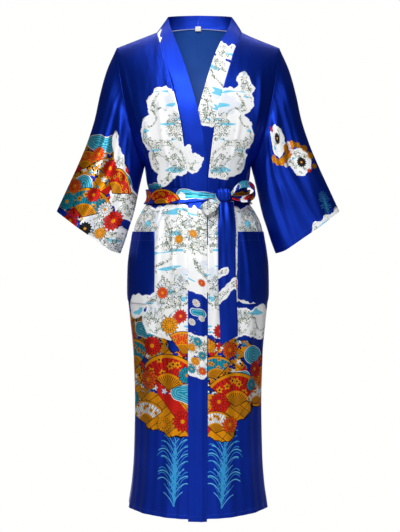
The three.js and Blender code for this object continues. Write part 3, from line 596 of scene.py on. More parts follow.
def cloth(name, grid, cut, prints, thickness, node, slot, wraps=False, centre=None, sewn=None,
          lining="reverse", hem=None):
    """A closed wall of cloth: its outer face is the grid, turned away from the centre (the garment's own axis
    where none is given), and its inner face is the grid moved in by its thickness. cut holds the cut
    coordinates, with one more column than the grid where it wraps, and sewn the distance to the nearest sewn
    edge at each of them. hem is how far the hem's stitches lie from the first row, or from the last one where
    it is below 0."""
    middle = body_axis(grid) if centre is None else centre
    grid = settle(grid)
    normals, sign = wall_normals(grid, wraps, middle)
    if hem is not None:
        along = arc_length(grid, 0).mean(axis=1)
        row = int(np.argmin(np.abs(along - hem % along[-1])))
        path = grid[row] + normals[row] * STITCH_LIFT
        stitches(name + "_hem", path, normals[row], HEM_STITCH, "thread")
    rows, count = grid.shape[:2]
    points = np.concatenate([grid.reshape(-1, 3), (grid - normals * thickness).reshape(-1, 3)])
    vertex, value, inner = wall_faces(rows, count, wraps)
    if sign < 0:
        vertex, value = vertex[:, ::-1], value[:, ::-1]
    mesh = bpy.data.meshes.new(name)
    mesh.from_pydata(points, [], vertex)
    mesh.polygons.foreach_set("material_index", inner.astype(np.int32))
    mesh.polygons.foreach_set("use_smooth", np.ones(len(vertex), bool))
    mesh.set_sharp_from_angle(angle=math.radians(SHARP_ANGLE))
    if sewn is None:
        sewn = np.full(cut.shape[:2], FAR)
    if not wraps:
        cut, sewn = (np.concatenate([field, field[:, -1:]], axis=1) for field in (cut, sewn))
    write_print(mesh, value.ravel(), cut.reshape(-1, 2), sewn.ravel(), prints)
    mesh.materials.append(MATERIALS[slot])
    mesh.materials.append(MATERIALS[lining])
    return add_piece(name, mesh, node)


def write_print(mesh, corner, cut, sewn, prints):
    """Gives a mesh what the printed satin reads: the cut coordinates as its UVs, and as attributes the
    print's fields and the distance to the nearest sewn edge. corner says which value each corner takes."""
    uv = mesh.uv_layers.new(name="cut")
    uv.data.foreach_set("uv", cut[corner].astype(np.float32).ravel())
    fields = {**print_fields(cut[:, 0], cut[:, 1], prints), "sewn": sewn}
    for key, field in fields.items():
        kind, member = ("FLOAT", "value") if field.ndim == 1 else ("FLOAT_VECTOR", "vector")
        layer = mesh.attributes.new(key, kind, "CORNER")
        layer.data.foreach_set(member, field[corner].astype(np.float32).ravel())


def add_piece(name, mesh, node):
    """Puts a mesh in the scene on the one body, in place of its node."""
    mesh.validate()
    mesh.update()
    piece = bpy.data.objects.new(name, mesh)
    bpy.context.scene.collection.objects.link(piece)
    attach(piece, "root")
    if node:
        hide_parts(node)
    return piece


# Print: motifs are placed in each piece's cut coordinates

FAN_HALF_SPREAD = math.radians(60)
FAR = 1.0
BANK_SOFTNESS = 5 * MM
BANK = "s0 v0 s1 v1 r"
MOTIF = "s v size turn kind"
FULL_TURN = 6.28
FAN_RIBS = 13
OUTER_PETALS = 14
INNER_PETALS = 10
# The small flowers on the gilt stop at this height, and leaves lie over the clouds at the hips
SMALL_FLOWERS_V = -0.965
HIP_LEAVES_S = 0.118
HIP_LEAVES_V = (-0.505, 0.04)


def banks(s, v, table):
    """Signed distance to mist banks: the smooth union, -k log(sum(exp(-d/k))), of thick strokes from
    (s0, v0) to (s1, v1) whose radius swells by a sine along each."""
    total = np.zeros(s.shape)
    for row in rows_of(table):
        along = np.array([row["s1"] - row["s0"], row["v1"] - row["v0"]])
        length = max(1e-6, float(np.hypot(*along)))
        share = ((s - row["s0"]) * along[0] + (v - row["v0"]) * along[1]) / length**2
        share = np.clip(share, 0, 1)
        away = np.hypot(s - row["s0"] - share * along[0], v - row["v0"] - share * along[1])
        swell = 1 + 0.13 * np.sin(share * length / (0.42 * row["r"]) + 50 * row["v0"])
        total += np.exp(np.clip((row["r"] * swell - away) / BANK_SOFTNESS, -60, 60))
    return np.minimum(FAR, -BANK_SOFTNESS * np.log(np.maximum(total, 1e-26)))


def nearest_motif(s, v, table, shape):
    """The local coordinates of the motif that is nearest by its own signed distance, in units of its size,
    with that distance and the motif's kind."""
    local = np.stack([np.full(s.shape, 9.0), np.full(s.shape, 9.0), np.full(s.shape, FAR)], axis=-1)
    kind = np.zeros(s.shape)
    for row in rows_of(table):
        turn = math.radians(row["turn"])
        x, y = s - row["s"], v - row["v"]
        x, y = x * math.cos(turn) + y * math.sin(turn), -x * math.sin(turn) + y * math.cos(turn)
        distance = shape(x, y, row["size"])
        closer = distance < local[..., 2]
        here = np.stack([x / row["size"], y / row["size"], distance], axis=-1)
        local = np.where(closer[..., None], here, local)
        kind = np.where(closer, row["kind"], kind)
    return local, kind


def fan_distance(x, y, size):
    """Signed distance to a fan: a disc cut to a sector about its upright axis."""
    radius = np.hypot(x, y)
    past = (np.abs(np.arctan2(x, y)) - FAN_HALF_SPREAD) * np.maximum(radius, 1e-4)
    return np.maximum(radius - size, past)


def disc_distance(x, y, size):
    """Signed distance to a disc."""
    return np.hypot(x, y) - size


def reed_distance(x, y, size):
    """Signed distance to the tall box that a plume of reeds fills."""
    return np.maximum(np.abs(x) - 0.46 * size, np.abs(y - 0.5 * size) - 0.56 * size)


NOTHING = {
    "cloud": columns(BANK),
    "gilt": columns(BANK),
    "water": columns(BANK),
    "fan": columns(MOTIF),
    "bloom": columns(MOTIF),
    "reed": columns(MOTIF),
}


def print_fields(s, v, prints):
    """Every field that the printed satin reads, at the cut coordinates s and v."""
    prints = {**NOTHING, **prints}
    fan, fan_kind = nearest_motif(s, v, prints["fan"], fan_distance)
    bloom, bloom_kind = nearest_motif(s, v, prints["bloom"], disc_distance)
    reed, _ = nearest_motif(s, v, prints["reed"], reed_distance)
    return {
        "cloud": banks(s, v, prints["cloud"]),
        "gilt": banks(s, v, prints["gilt"]),
        "water": banks(s, v, prints["water"]),
        "fan": fan,
        "fan_kind": fan_kind,
        "bloom": bloom,
        "bloom_kind": bloom_kind,
        "reed": reed,
    }


# Kinds of fan: 0 red, 1 white, 2 teal, 3 orange. Kinds of bloom: 0 white, 1 red, 2 orange, 3 gold, 4 teal,
# 5 black.
RIGHT_FRONT_PRINT = {
    "cloud": columns(
        BANK,
        (0.092, -0.198, 0.104, -0.208, 0.036),
        (0.060, -0.270, 0.104, -0.282, 0.050),
        (0.055, -0.345, 0.100, -0.345, 0.044),
        (0.085, -0.395, 0.096, -0.402, 0.018),
        (0.020, -0.514, 0.190, -0.512, 0.043),
        (0.030, -0.600, 0.110, -0.595, 0.058),
        (0.030, -0.690, 0.105, -0.690, 0.060),
        (0.030, -0.780, 0.120, -0.775, 0.040),
        (0.170, -0.735, 0.190, -0.745, 0.026),
    ),
    "gilt": columns(
        BANK,
        (0.175, -0.785, 0.262, -0.780, 0.026),
        (0.120, -0.845, 0.270, -0.835, 0.034),
        (0.020, -0.885, 0.090, -0.880, 0.030),
        (0.020, -0.945, 0.265, -0.905, 0.040),
        (0.020, -1.010, 0.225, -0.965, 0.038),
        (0.020, -1.050, 0.120, -1.035, 0.028),
    ),
    "water": columns(
        BANK,
        (0.105, -0.795, 0.170, -0.798, 0.022),
        (0.020, -0.965, 0.050, -0.960, 0.024),
        (0.180, -1.000, 0.240, -1.005, 0.016),
        (0.110, -0.420, 0.150, -0.424, 0.010),
    ),
    "fan": columns(
        MOTIF,
        (0.080, -0.955, 0.094, 8, 0),
        (0.190, -0.910, 0.084, -16, 2),
        (0.040, -0.860, 0.060, 24, 3),
        (0.145, -1.050, 0.064, -8, 1),
        (0.232, -1.010, 0.062, 18, 0),
    ),
    "bloom": columns(
        MOTIF,
        (0.125, -0.840, 0.027, 0, 1),
        (0.028, -0.915, 0.024, 10, 4),
        (0.138, -0.930, 0.028, 5, 2),
        (0.040, -1.035, 0.027, 0, 1),
        (0.092, -1.045, 0.020, 8, 3),
        (0.232, -0.845, 0.026, 15, 1),
        (0.195, -0.985, 0.022, 0, 4),
        (0.075, -0.785, 0.024, 0, 3),
        (0.095, -0.700, 0.016, 3, 2),
        (0.050, -0.560, 0.012, 0, 3),
        (0.045, -0.760, 0.018, 0, 1),
    ),
    "reed": columns(
        MOTIF,
        (0.064, -1.250, 0.190, 2, 0),
    ),
}
LEFT_FRONT_PRINT = {
    "cloud": columns(
        BANK,
        (0.118, -0.140, 0.134, -0.165, 0.019),
        (0.082, -0.205, 0.116, -0.198, 0.040),
        (0.065, -0.275, 0.100, -0.285, 0.050),
        (0.055, -0.350, 0.094, -0.350, 0.045),
        (0.020, -0.512, 0.185, -0.516, 0.043),
        (0.030, -0.600, 0.090, -0.600, 0.054),
        (0.030, -0.690, 0.070, -0.690, 0.054),
        (0.030, -0.775, 0.190, -0.780, 0.042),
    ),
    "gilt": columns(
        BANK,
        (0.020, -0.850, 0.120, -0.845, 0.026),
        (0.020, -0.915, 0.100, -0.910, 0.038),
        (0.090, -0.970, 0.265, -0.960, 0.036),
        (0.020, -1.000, 0.110, -1.000, 0.042),
        (0.020, -1.050, 0.070, -1.050, 0.030),
    ),
    "water": columns(
        BANK,
        (0.150, -0.865, 0.165, -0.870, 0.022),
        (0.235, -1.000, 0.250, -1.005, 0.016),
        (0.110, -0.925, 0.125, -0.925, 0.020),
    ),
    "fan": columns(
        MOTIF,
        (0.100, -1.000, 0.090, -8, 0),
        (0.048, -0.925, 0.060, 18, 2),
        (0.215, -0.965, 0.070, 12, 3),
        (0.045, -1.065, 0.056, -12, 1),
        (0.170, -1.000, 0.050, 8, 1),
    ),
    "bloom": columns(
        MOTIF,
        (0.165, -0.905, 0.022, 0, 1),
        (0.085, -0.850, 0.022, 10, 2),
        (0.055, -0.985, 0.024, 0, 1),
        (0.150, -0.945, 0.018, 8, 4),
        (0.085, -1.045, 0.022, 0, 2),
        (0.240, -0.900, 0.018, 0, 3),
        (0.215, -0.860, 0.013, 0, 2),
        (0.190, -0.880, 0.011, 0, 1),
        (0.060, -0.800, 0.020, 0, 1),
        (0.030, -0.840, 0.018, 0, 3),
    ),
    "reed": columns(
        MOTIF,
        (0.062, -1.255, 0.196, -3, 0),
    ),
}
BACK_PRINT = {
    "cloud": columns(
        BANK,
        (-0.120, -0.160, 0.020, -0.170, 0.040),
        (-0.090, -0.235, 0.110, -0.225, 0.046),
        (-0.050, -0.315, 0.130, -0.310, 0.042),
        (-0.150, -0.540, 0.060, -0.530, 0.042),
        (-0.130, -0.615, 0.130, -0.605, 0.048),
        (-0.060, -0.695, 0.190, -0.700, 0.048),
        (-0.190, -0.755, 0.080, -0.760, 0.040),
    ),
    "gilt": columns(
        BANK,
        (-0.250, -0.850, 0.250, -0.840, 0.040),
        (-0.240, -0.920, 0.260, -0.920, 0.042),
        (-0.260, -0.990, 0.230, -0.980, 0.040),
        (-0.120, -1.040, 0.080, -1.040, 0.026),
    ),
    "water": columns(
        BANK,
        (-0.110, -0.805, -0.010, -0.800, 0.026),
        (0.100, -1.025, 0.190, -1.030, 0.022),
        (-0.230, -1.040, -0.160, -1.035, 0.020),
    ),
    "fan": columns(
        MOTIF,
        (-0.170, -0.950, 0.094, 10, 0),
        (-0.040, -0.910, 0.084, -14, 2),
        (0.075, -0.980, 0.096, 6, 3),
        (0.200, -0.920, 0.084, -10, 0),
        (-0.095, -1.050, 0.068, 14, 1),
        (0.010, -1.055, 0.060, -10, 0),
        (0.165, -1.050, 0.066, 10, 1),
    ),
    "bloom": columns(
        MOTIF,
        (-0.105, -0.860, 0.028, 0, 1),
        (0.020, -0.840, 0.026, 10, 4),
        (0.135, -0.850, 0.028, 5, 1),
        (-0.225, -0.870, 0.024, 0, 2),
        (-0.110, -0.975, 0.026, 0, 4),
        (0.010, -0.980, 0.026, 8, 1),
        (0.150, -0.990, 0.026, 0, 2),
        (-0.195, -1.020, 0.026, 0, 1),
        (0.235, -1.000, 0.022, 0, 3),
        (-0.030, -0.230, 0.014, 0, 3),
        (0.080, -0.300, 0.014, 0, 2),
        (-0.060, -0.610, 0.014, 0, 3),
        (0.100, -0.690, 0.016, 0, 2),
    ),
    "reed": columns(
        MOTIF,
        (-0.140, -1.250, 0.190, 3, 0),
        (0.110, -1.260, 0.200, -3, 0),
        (-0.015, -1.220, 0.130, 0, 0),
    ),
}
RIGHT_SLEEVE_PRINT = {
    "cloud": columns(
        BANK,
        (0.105, -0.250, 0.128, -0.300, 0.014),
        (0.128, -0.290, 0.150, -0.320, 0.014),
        (0.160, -0.380, 0.205, -0.400, 0.036),
        (0.120, -0.460, 0.195, -0.495, 0.034),
        (0.045, -0.505, 0.110, -0.515, 0.014),
        (-0.200, -0.380, -0.140, -0.390, 0.036),
        (-0.190, -0.480, -0.120, -0.490, 0.032),
    ),
    "gilt": columns(
        BANK,
        (0.000, -0.275, 0.100, -0.290, 0.030),
        (0.000, -0.340, 0.150, -0.345, 0.040),
        (0.000, -0.415, 0.110, -0.420, 0.044),
        (-0.110, -0.290, 0.000, -0.280, 0.030),
        (-0.140, -0.350, 0.000, -0.345, 0.040),
        (-0.120, -0.425, 0.000, -0.420, 0.044),
    ),
    "water": columns(
        BANK,
        (0.020, -0.262, 0.085, -0.262, 0.020),
        (0.140, -0.330, 0.170, -0.350, 0.018),
        (0.040, -0.375, 0.050, -0.395, 0.022),
        (-0.090, -0.262, -0.030, -0.266, 0.020),
    ),
    "fan": columns(
        MOTIF,
        (0.078, -0.458, 0.078, 4, 2),
        (0.128, -0.378, 0.060, -22, 0),
        (0.024, -0.340, 0.052, 18, 3),
        (0.085, -0.335, 0.040, 8, 1),
        (-0.080, -0.450, 0.090, 6, 0),
        (-0.140, -0.370, 0.062, 20, 3),
        (-0.030, -0.345, 0.056, -10, 2),
    ),
    "bloom": columns(
        MOTIF,
        (0.100, -0.320, 0.024, 0, 1),
        (0.050, -0.290, 0.020, 0, 2),
        (0.158, -0.440, 0.026, 0, 1),
        (0.018, -0.435, 0.024, 0, 4),
        (0.125, -0.420, 0.020, 0, 0),
        (0.050, -0.478, 0.022, 0, 1),
        (0.098, -0.482, 0.018, 0, 5),
        (0.140, -0.480, 0.016, 0, 3),
        (0.020, -0.390, 0.020, 0, 2),
        (0.080, -0.395, 0.020, 0, 1),
        (-0.090, -0.320, 0.026, 0, 1),
        (-0.150, -0.440, 0.026, 0, 2),
        (-0.020, -0.430, 0.024, 0, 4),
    ),
}
LEFT_SLEEVE_PRINT = {
    "cloud": columns(
        BANK,
        (0.121, -0.257, 0.122, -0.259, 0.035),
        (0.051, -0.310, 0.052, -0.312, 0.037),
        (0.000, -0.476, 0.080, -0.488, 0.017),
        (-0.130, -0.480, -0.070, -0.470, 0.026),
    ),
    "fan": columns(
        MOTIF,
        (-0.070, -0.330, 0.056, 12, 1),
        (-0.140, -0.290, 0.052, -12, 1),
    ),
    "bloom": columns(
        MOTIF,
        (0.124, -0.252, 0.013, 0, 5),
        (0.046, -0.314, 0.014, 20, 5),
        (0.082, -0.288, 0.011, 0, 3),
        (0.098, -0.296, 0.009, 0, 3),
        (0.112, -0.304, 0.010, 0, 3),
        (0.130, -0.304, 0.009, 0, 3),
        (0.146, -0.298, 0.010, 0, 3),
        (0.088, -0.270, 0.009, 0, 3),
        (0.072, -0.262, 0.009, 0, 0),
        (0.058, -0.262, 0.010, 0, 3),
        (0.068, -0.280, 0.008, 0, 0),
        (0.040, -0.268, 0.009, 0, 3),
        (0.022, -0.280, 0.010, 0, 3),
        (0.012, -0.304, 0.010, 0, 3),
        (0.014, -0.334, 0.008, 0, 3),
        (0.098, -0.312, 0.007, 0, 0),
        (0.148, -0.238, 0.006, 0, 1),
        (0.034, -0.342, 0.006, 0, 1),
        (-0.105, -0.300, 0.014, 0, 3),
        (-0.088, -0.324, 0.011, 0, 1),
    ),
    "reed": columns(
        MOTIF,
        (0.036, -0.468, 0.062, 10, 0),
        (-0.100, -0.450, 0.080, 0, 0),
    ),
}
RIGHT_BAND_PRINT = {
    "cloud": columns(
        BANK,
        (0.104, 0.040, 0.110, 0.008, 0.010),
        (0.036, -0.325, 0.010, -0.355, 0.020),
        (-0.020, -0.505, 0.030, -0.505, 0.036),
        (-0.020, -0.565, 0.030, -0.565, 0.036),
        (-0.020, -0.625, 0.030, -0.630, 0.036),
        (-0.020, -0.675, 0.030, -0.664, 0.018),
        (-0.020, -0.825, 0.030, -0.825, 0.032),
        (-0.020, -0.880, 0.030, -0.886, 0.024),
    ),
    "water": columns(BANK, (-0.010, -0.735, 0.010, -0.737, 0.010)),
    "bloom": columns(
        MOTIF,
        (0.012, -0.535, 0.011, 0, 3),
        (-0.010, -0.655, 0.010, 0, 2),
        (0.004, -0.712, 0.011, 0, 0),
        (-0.010, -0.748, 0.009, 0, 0),
        (0.015, -0.765, 0.010, 0, 0),
        (0.000, -0.812, 0.012, 0, 4),
        (0.016, -0.832, 0.011, 0, 3),
        (-0.012, -0.846, 0.011, 0, 4),
        (0.006, -0.866, 0.012, 0, 3),
        (-0.012, -0.888, 0.011, 0, 2),
        (0.016, -0.890, 0.011, 0, 4),
    ),
}
LEFT_BAND_PRINT = {
    "cloud": columns(
        BANK,
        (0.060, -0.055, 0.095, -0.048, 0.026),
        (0.040, -0.112, 0.080, -0.110, 0.034),
        (0.020, -0.175, 0.070, -0.175, 0.038),
        (0.005, -0.232, 0.050, -0.230, 0.030),
        (-0.020, -0.600, 0.030, -0.610, 0.036),
        (-0.020, -0.670, 0.030, -0.660, 0.036),
    ),
    "bloom": columns(MOTIF, (0.000, -0.780, 0.016, 0, 1), (0.010, -0.840, 0.014, 0, 2)),
}
RIGHT_POCKET_PRINT = {"cloud": columns(BANK, (0.115, -0.722, 0.180, -0.728, 0.020))}
LEFT_POCKET_PRINT = {"cloud": columns(BANK, (0.110, -0.736, 0.150, -0.742, 0.014))}
TAIL_PRINT = {
    "cloud": columns(BANK, (-0.022, -0.182, -0.006, -0.178, 0.011), (-0.020, -0.240, 0.024, -0.214, 0.014)),
}
KNOT_PRINT = {"cloud": columns(BANK, (-0.022, -0.004, -0.020, -0.012, 0.004))}
UNDER_TAIL_PRINT = {
    "cloud": columns(
        BANK,
        (-0.030, -0.020, 0.030, -0.040, 0.034),
        (-0.030, -0.090, 0.030, -0.100, 0.038),
        (-0.030, -0.160, 0.030, -0.170, 0.036),
    ),
    "bloom": columns(MOTIF, (0.010, -0.220, 0.018, 0, 1)),
}
WRAP_PRINT = {
    "cloud": columns(
        BANK,
        (0.626, -0.012, 0.655, 0.000, 0.010),
        (0.300, 0.000, 0.350, 0.000, 0.018),
        (0.140, 0.000, 0.170, 0.000, 0.020),
    ),
    "gilt": columns(
        BANK,
        (0.715, -0.012, 0.745, -0.004, 0.008),
        (0.400, 0.000, 0.450, 0.000, 0.020),
        (0.040, 0.000, 0.090, 0.000, 0.020),
    ),
    "water": columns(BANK, (0.662, 0.006, 0.735, -0.001, 0.015), (0.200, 0.000, 0.250, 0.000, 0.018)),
    "fan": columns(
        MOTIF,
        (0.604, -0.034, 0.056, -6, 0),
        (0.480, -0.030, 0.050, 8, 3),
        (0.370, -0.030, 0.050, 0, 0),
        (0.100, -0.030, 0.050, 0, 0),
    ),
    "bloom": columns(MOTIF, (0.545, 0.000, 0.021, 0, 2), (0.250, 0.000, 0.016, 0, 1)),
}
BOW_PRINT = {
    "cloud": columns(BANK, (-0.02, 0.000, 0.02, 0.012, 0.014), (-0.02, 0.118, 0.02, 0.124, 0.010)),
    "gilt": columns(BANK, (-0.02, 0.094, 0.02, 0.098, 0.011)),
    "water": columns(BANK, (-0.02, 0.042, 0.02, 0.046, 0.013)),
    "bloom": columns(
        MOTIF,
        (0.000, 0.070, 0.015, 0, 1),
        (0.004, 0.108, 0.015, 0, 1),
        (-0.010, 0.142, 0.014, 0, 1),
    ),
}
FOLD_PRINT = {
    "cloud": columns(
        BANK,
        (-0.020, 0.000, 0.020, 0.020, 0.030),
        (-0.020, 0.050, 0.020, 0.070, 0.030),
        (0.000, 0.100, 0.000, 0.130, 0.030),
    ),
}


# Materials

INKS = {
    "royal": "#0B2FA4",
    "reverse": "#1D52AC",
    "white": "#F0F1F2",
    "vine": "#7E897A",
    "leaf": "#A6B0A4",
    "shade": "#59624F",
    "mist": "#DEE3EC",
    "reed": "#3AA0DC",
    "blossom": "#CDB176",
    "gold": "#E8960F",
    "lattice": "#5A2B0E",
    "black": "#14110F",
    "red": "#D3231B",
    "orange": "#E8571C",
    "teal": "#1E93AC",
    "ochre": "#C98218",
    "aqua": "#6CC8E8",
    "label": "#E9E7E0",
    "thread": "#2440B8",
    "overlock": "#8F9AC0",
    "floor": "#F7F7F7",
}
FAN_INKS = ("red", "white", "teal", "orange")
BLOOM_INKS = ("white", "red", "orange", "gold", "teal", "black")


def linear(hex_colour):
    """An sRGB hex value as linear RGBA: ((c + 0.055) / 1.055)^2.4 above 0.04045, else c / 12.92."""
    values = [int(hex_colour[k : k + 2], 16) / 255 for k in (1, 3, 5)]
    return (*((c / 12.92 if c <= 0.04045 else ((c + 0.055) / 1.055) ** 2.4) for c in values), 1.0)


def new_material(name):
    """An empty node material and its tree."""
    material = bpy.data.materials.new(name)
    material.use_nodes = True
    material.node_tree.nodes.clear()
    return material, material.node_tree


def add(tree, kind, inputs=(), out=0, **settings):
    """Adds one node with its settings, sets or links its inputs by name or place, and gives an output."""
    made = tree.nodes.new("ShaderNode" + kind)
    for key, value in settings.items():
        setattr(made, key, value)
    pairs = inputs.items() if isinstance(inputs, dict) else enumerate(inputs)
    for key, value in pairs:
        if isinstance(value, bpy.types.NodeSocket):
            tree.links.new(value, made.inputs[key])
        elif value is not None:
            made.inputs[key].default_value = value
    return made.outputs[out] if made.outputs else None


def all_of(tree, *masks):
    """The mask of where all of several masks are 1: their product."""
    product = masks[0]
    for mask in masks[1:]:
        product = add(tree, "Math", (product, mask), operation="MULTIPLY")
    return product


def inked(tree, ground, ink, mask):
    """The cloth's colour with one ink printed over it where the mask is 1. An ink is a name or a socket."""
    colour = linear(INKS[ink]) if isinstance(ink, str) else ink
    return add(tree, "Mix", {0: mask, 6: ground, 7: colour}, out=2, data_type="RGBA")


def polar(tree, x, y):
    """(radius, angle from the upright) of local coordinates."""
    plane = add(tree, "CombineXYZ", (x, y, 0.0))
    radius = add(tree, "VectorMath", (plane,), out=1, operation="LENGTH")
    return radius, add(tree, "Math", (x, y), operation="ARCTAN2")


def local_field(tree, name):
    """(x, y, signed distance) of the nearest motif, as the piece's attribute holds them."""
    vector = add(tree, "Attribute", out=1, attribute_name=name)
    return [add(tree, "SeparateXYZ", (vector,), out=k) for k in range(3)]


def ramp(tree, factor, inks):
    """One ink for each whole number from 0, from a ramp of steps."""
    middle = add(tree, "Math", (factor, 0.5), operation="ADD")
    scaled = add(tree, "Math", (middle, len(inks)), operation="DIVIDE")
    socket = add(tree, "ValToRGB", (scaled,))
    colour_ramp = socket.node.color_ramp
    colour_ramp.interpolation = "CONSTANT"
    steps = colour_ramp.elements
    steps[0].position, steps[0].color = 0.0, linear(INKS[inks[0]])
    steps[1].position, steps[1].color = 1 / len(inks), linear(INKS[inks[1]])
    for k, ink in enumerate(inks[2:], start=2):
        steps.new(k / len(inks)).color = linear(INKS[ink])
    return socket


def scattered(tree, cut, spacing, seed):
    """(radius, angle, random) of flowers scattered over the cloth: one in each Voronoi cell, in units of the
    spacing, turned at random."""
    placed = add(tree, "VectorMath", (cut, (seed, seed * 1.7, 0.0)), operation="ADD")
    scaled = add(tree, "VectorMath", {0: placed, "Scale": 1 / spacing}, operation="SCALE")
    cell = add(tree, "TexVoronoi", {"Vector": scaled, "Scale": 1.0, "Randomness": 0.8}, out=2,
               voronoi_dimensions="2D")
    local = add(tree, "VectorMath", (scaled, cell), operation="SUBTRACT")
    x, y = (add(tree, "SeparateXYZ", (local,), out=k) for k in range(2))
    radius, angle = polar(tree, x, y)
    random = add(tree, "SeparateXYZ", (cell.node.outputs[1],), out=0)
    turned = add(tree, "Math", (random, FULL_TURN, angle), operation="MULTIPLY_ADD")
    return radius, turned, random


def petals(tree, radius, angle, count, size, notch):
    """A mask of a flower: inside size times 1 - notch + notch cos(count times the angle)."""
    turned = add(tree, "Math", (angle, float(count)), operation="MULTIPLY")
    wave = add(tree, "Math", (turned,), operation="COSINE")
    edge = add(tree, "Math", (wave, notch * size, (1 - notch) * size), operation="MULTIPLY_ADD")
    return add(tree, "Math", (radius, edge), operation="LESS_THAN")


def below(tree, value, limit):
    """The mask of where a value is less than the limit."""
    return add(tree, "Math", (value, limit), operation="LESS_THAN")


def near(tree, value, middle, reach):
    """The mask of where a value is within reach of the middle."""
    return add(tree, "Math", (value, middle, reach), operation="COMPARE")


def stripes(tree, value, pitch, share):
    """A mask of stripes: where the fraction of value over pitch is less than the share."""
    scaled = add(tree, "Math", (value, 1 / pitch), operation="MULTIPLY")
    return below(tree, add(tree, "Math", (scaled,), operation="FRACT"), share)


def torn_bank(tree, cut, name, scale, reach):
    """A bank's signed distance, with its edge moved by a noise, up to reach either way."""
    distance = add(tree, "Attribute", out=2, attribute_name=name)
    noise = add(tree, "TexNoise", {"Vector": cut, "Scale": scale, "Detail": 2.0}, noise_dimensions="2D")
    nearer = add(tree, "Math", (distance, -reach), operation="ADD")
    return add(tree, "Math", (noise, 2 * reach, nearer), operation="MULTIPLY_ADD")


def stretched_noise(tree, cut, across, along, detail):
    """A noise with so many features a metre across the cloth and along it."""
    scaled = add(tree, "VectorMath", (cut, (across, along, 1.0)), operation="MULTIPLY")
    return add(tree, "TexNoise", {"Vector": scaled, "Scale": 1.0, "Detail": detail}, noise_dimensions="2D")


def dyed(tree, ink, noise, low, high):
    """One dye times a shade that runs from low where the noise is 0.3 to high where it is 0.7."""
    shade = add(tree, "MapRange", (noise, 0.3, 0.7, low, high))
    dye = {0: 1.0, 6: linear(INKS[ink]), 7: shade}
    return add(tree, "Mix", dye, out=2, data_type="RGBA", blend_type="MULTIPLY")


def print_gilt(tree, colour, cut):
    """Gold mist with a diagonal lattice in it and a dark outline."""
    gilt = torn_bank(tree, cut, "gilt", 30.0, 13 * MM)
    s, v = (add(tree, "SeparateXYZ", (cut,), out=k) for k in range(2))
    inside = below(tree, gilt, 0.0)
    colour = inked(tree, colour, "gold", inside)
    for slope, pitch, tinted in ((0.75, 24 * MM, "ochre"), (-1.20, 61 * MM, "red")):
        slanted = add(tree, "Math", (s, slope, v), operation="MULTIPLY_ADD")
        tint = all_of(tree, stripes(tree, slanted, 3 * pitch, 0.30), inside)
        colour = inked(tree, colour, tinted, tint)
        line = all_of(tree, stripes(tree, slanted, pitch, 2 * MM / pitch), inside)
        colour = inked(tree, colour, "lattice", line)
    for spacing, seed, count, size, notch, ink in (
        (30 * MM, 8.3, 3, 0.40, 0.35, "royal"),
        (23 * MM, 1.9, 5, 0.36, 0.25, "white"),
        (26 * MM, 6.1, 4, 0.38, 0.45, "teal"),
        (17 * MM, 3.7, 2, 0.40, 0.60, "black"),
    ):
        radius, angle, random = scattered(tree, cut, spacing, seed)
        few = add(tree, "Math", (random, 0.5), operation="GREATER_THAN")
        few = all_of(tree, few, add(tree, "Math", (v, SMALL_FLOWERS_V), operation="GREATER_THAN"))
        flower = petals(tree, radius, angle, count, size, notch)
        colour = inked(tree, colour, ink, all_of(tree, inside, few, flower))
    return inked(tree, colour, "black", near(tree, gilt, 0.0, 1.3 * MM))


def print_water(tree, colour):
    """Teal pools ringed by paler contour lines."""
    water = add(tree, "Attribute", out=2, attribute_name="water")
    inside = below(tree, water, 0.0)
    colour = inked(tree, colour, "teal", inside)
    rings = all_of(tree, stripes(tree, water, 6 * MM, 0.38), inside)
    colour = inked(tree, colour, "aqua", rings)
    return inked(tree, colour, "white", near(tree, water, 0.0, 1.0 * MM))


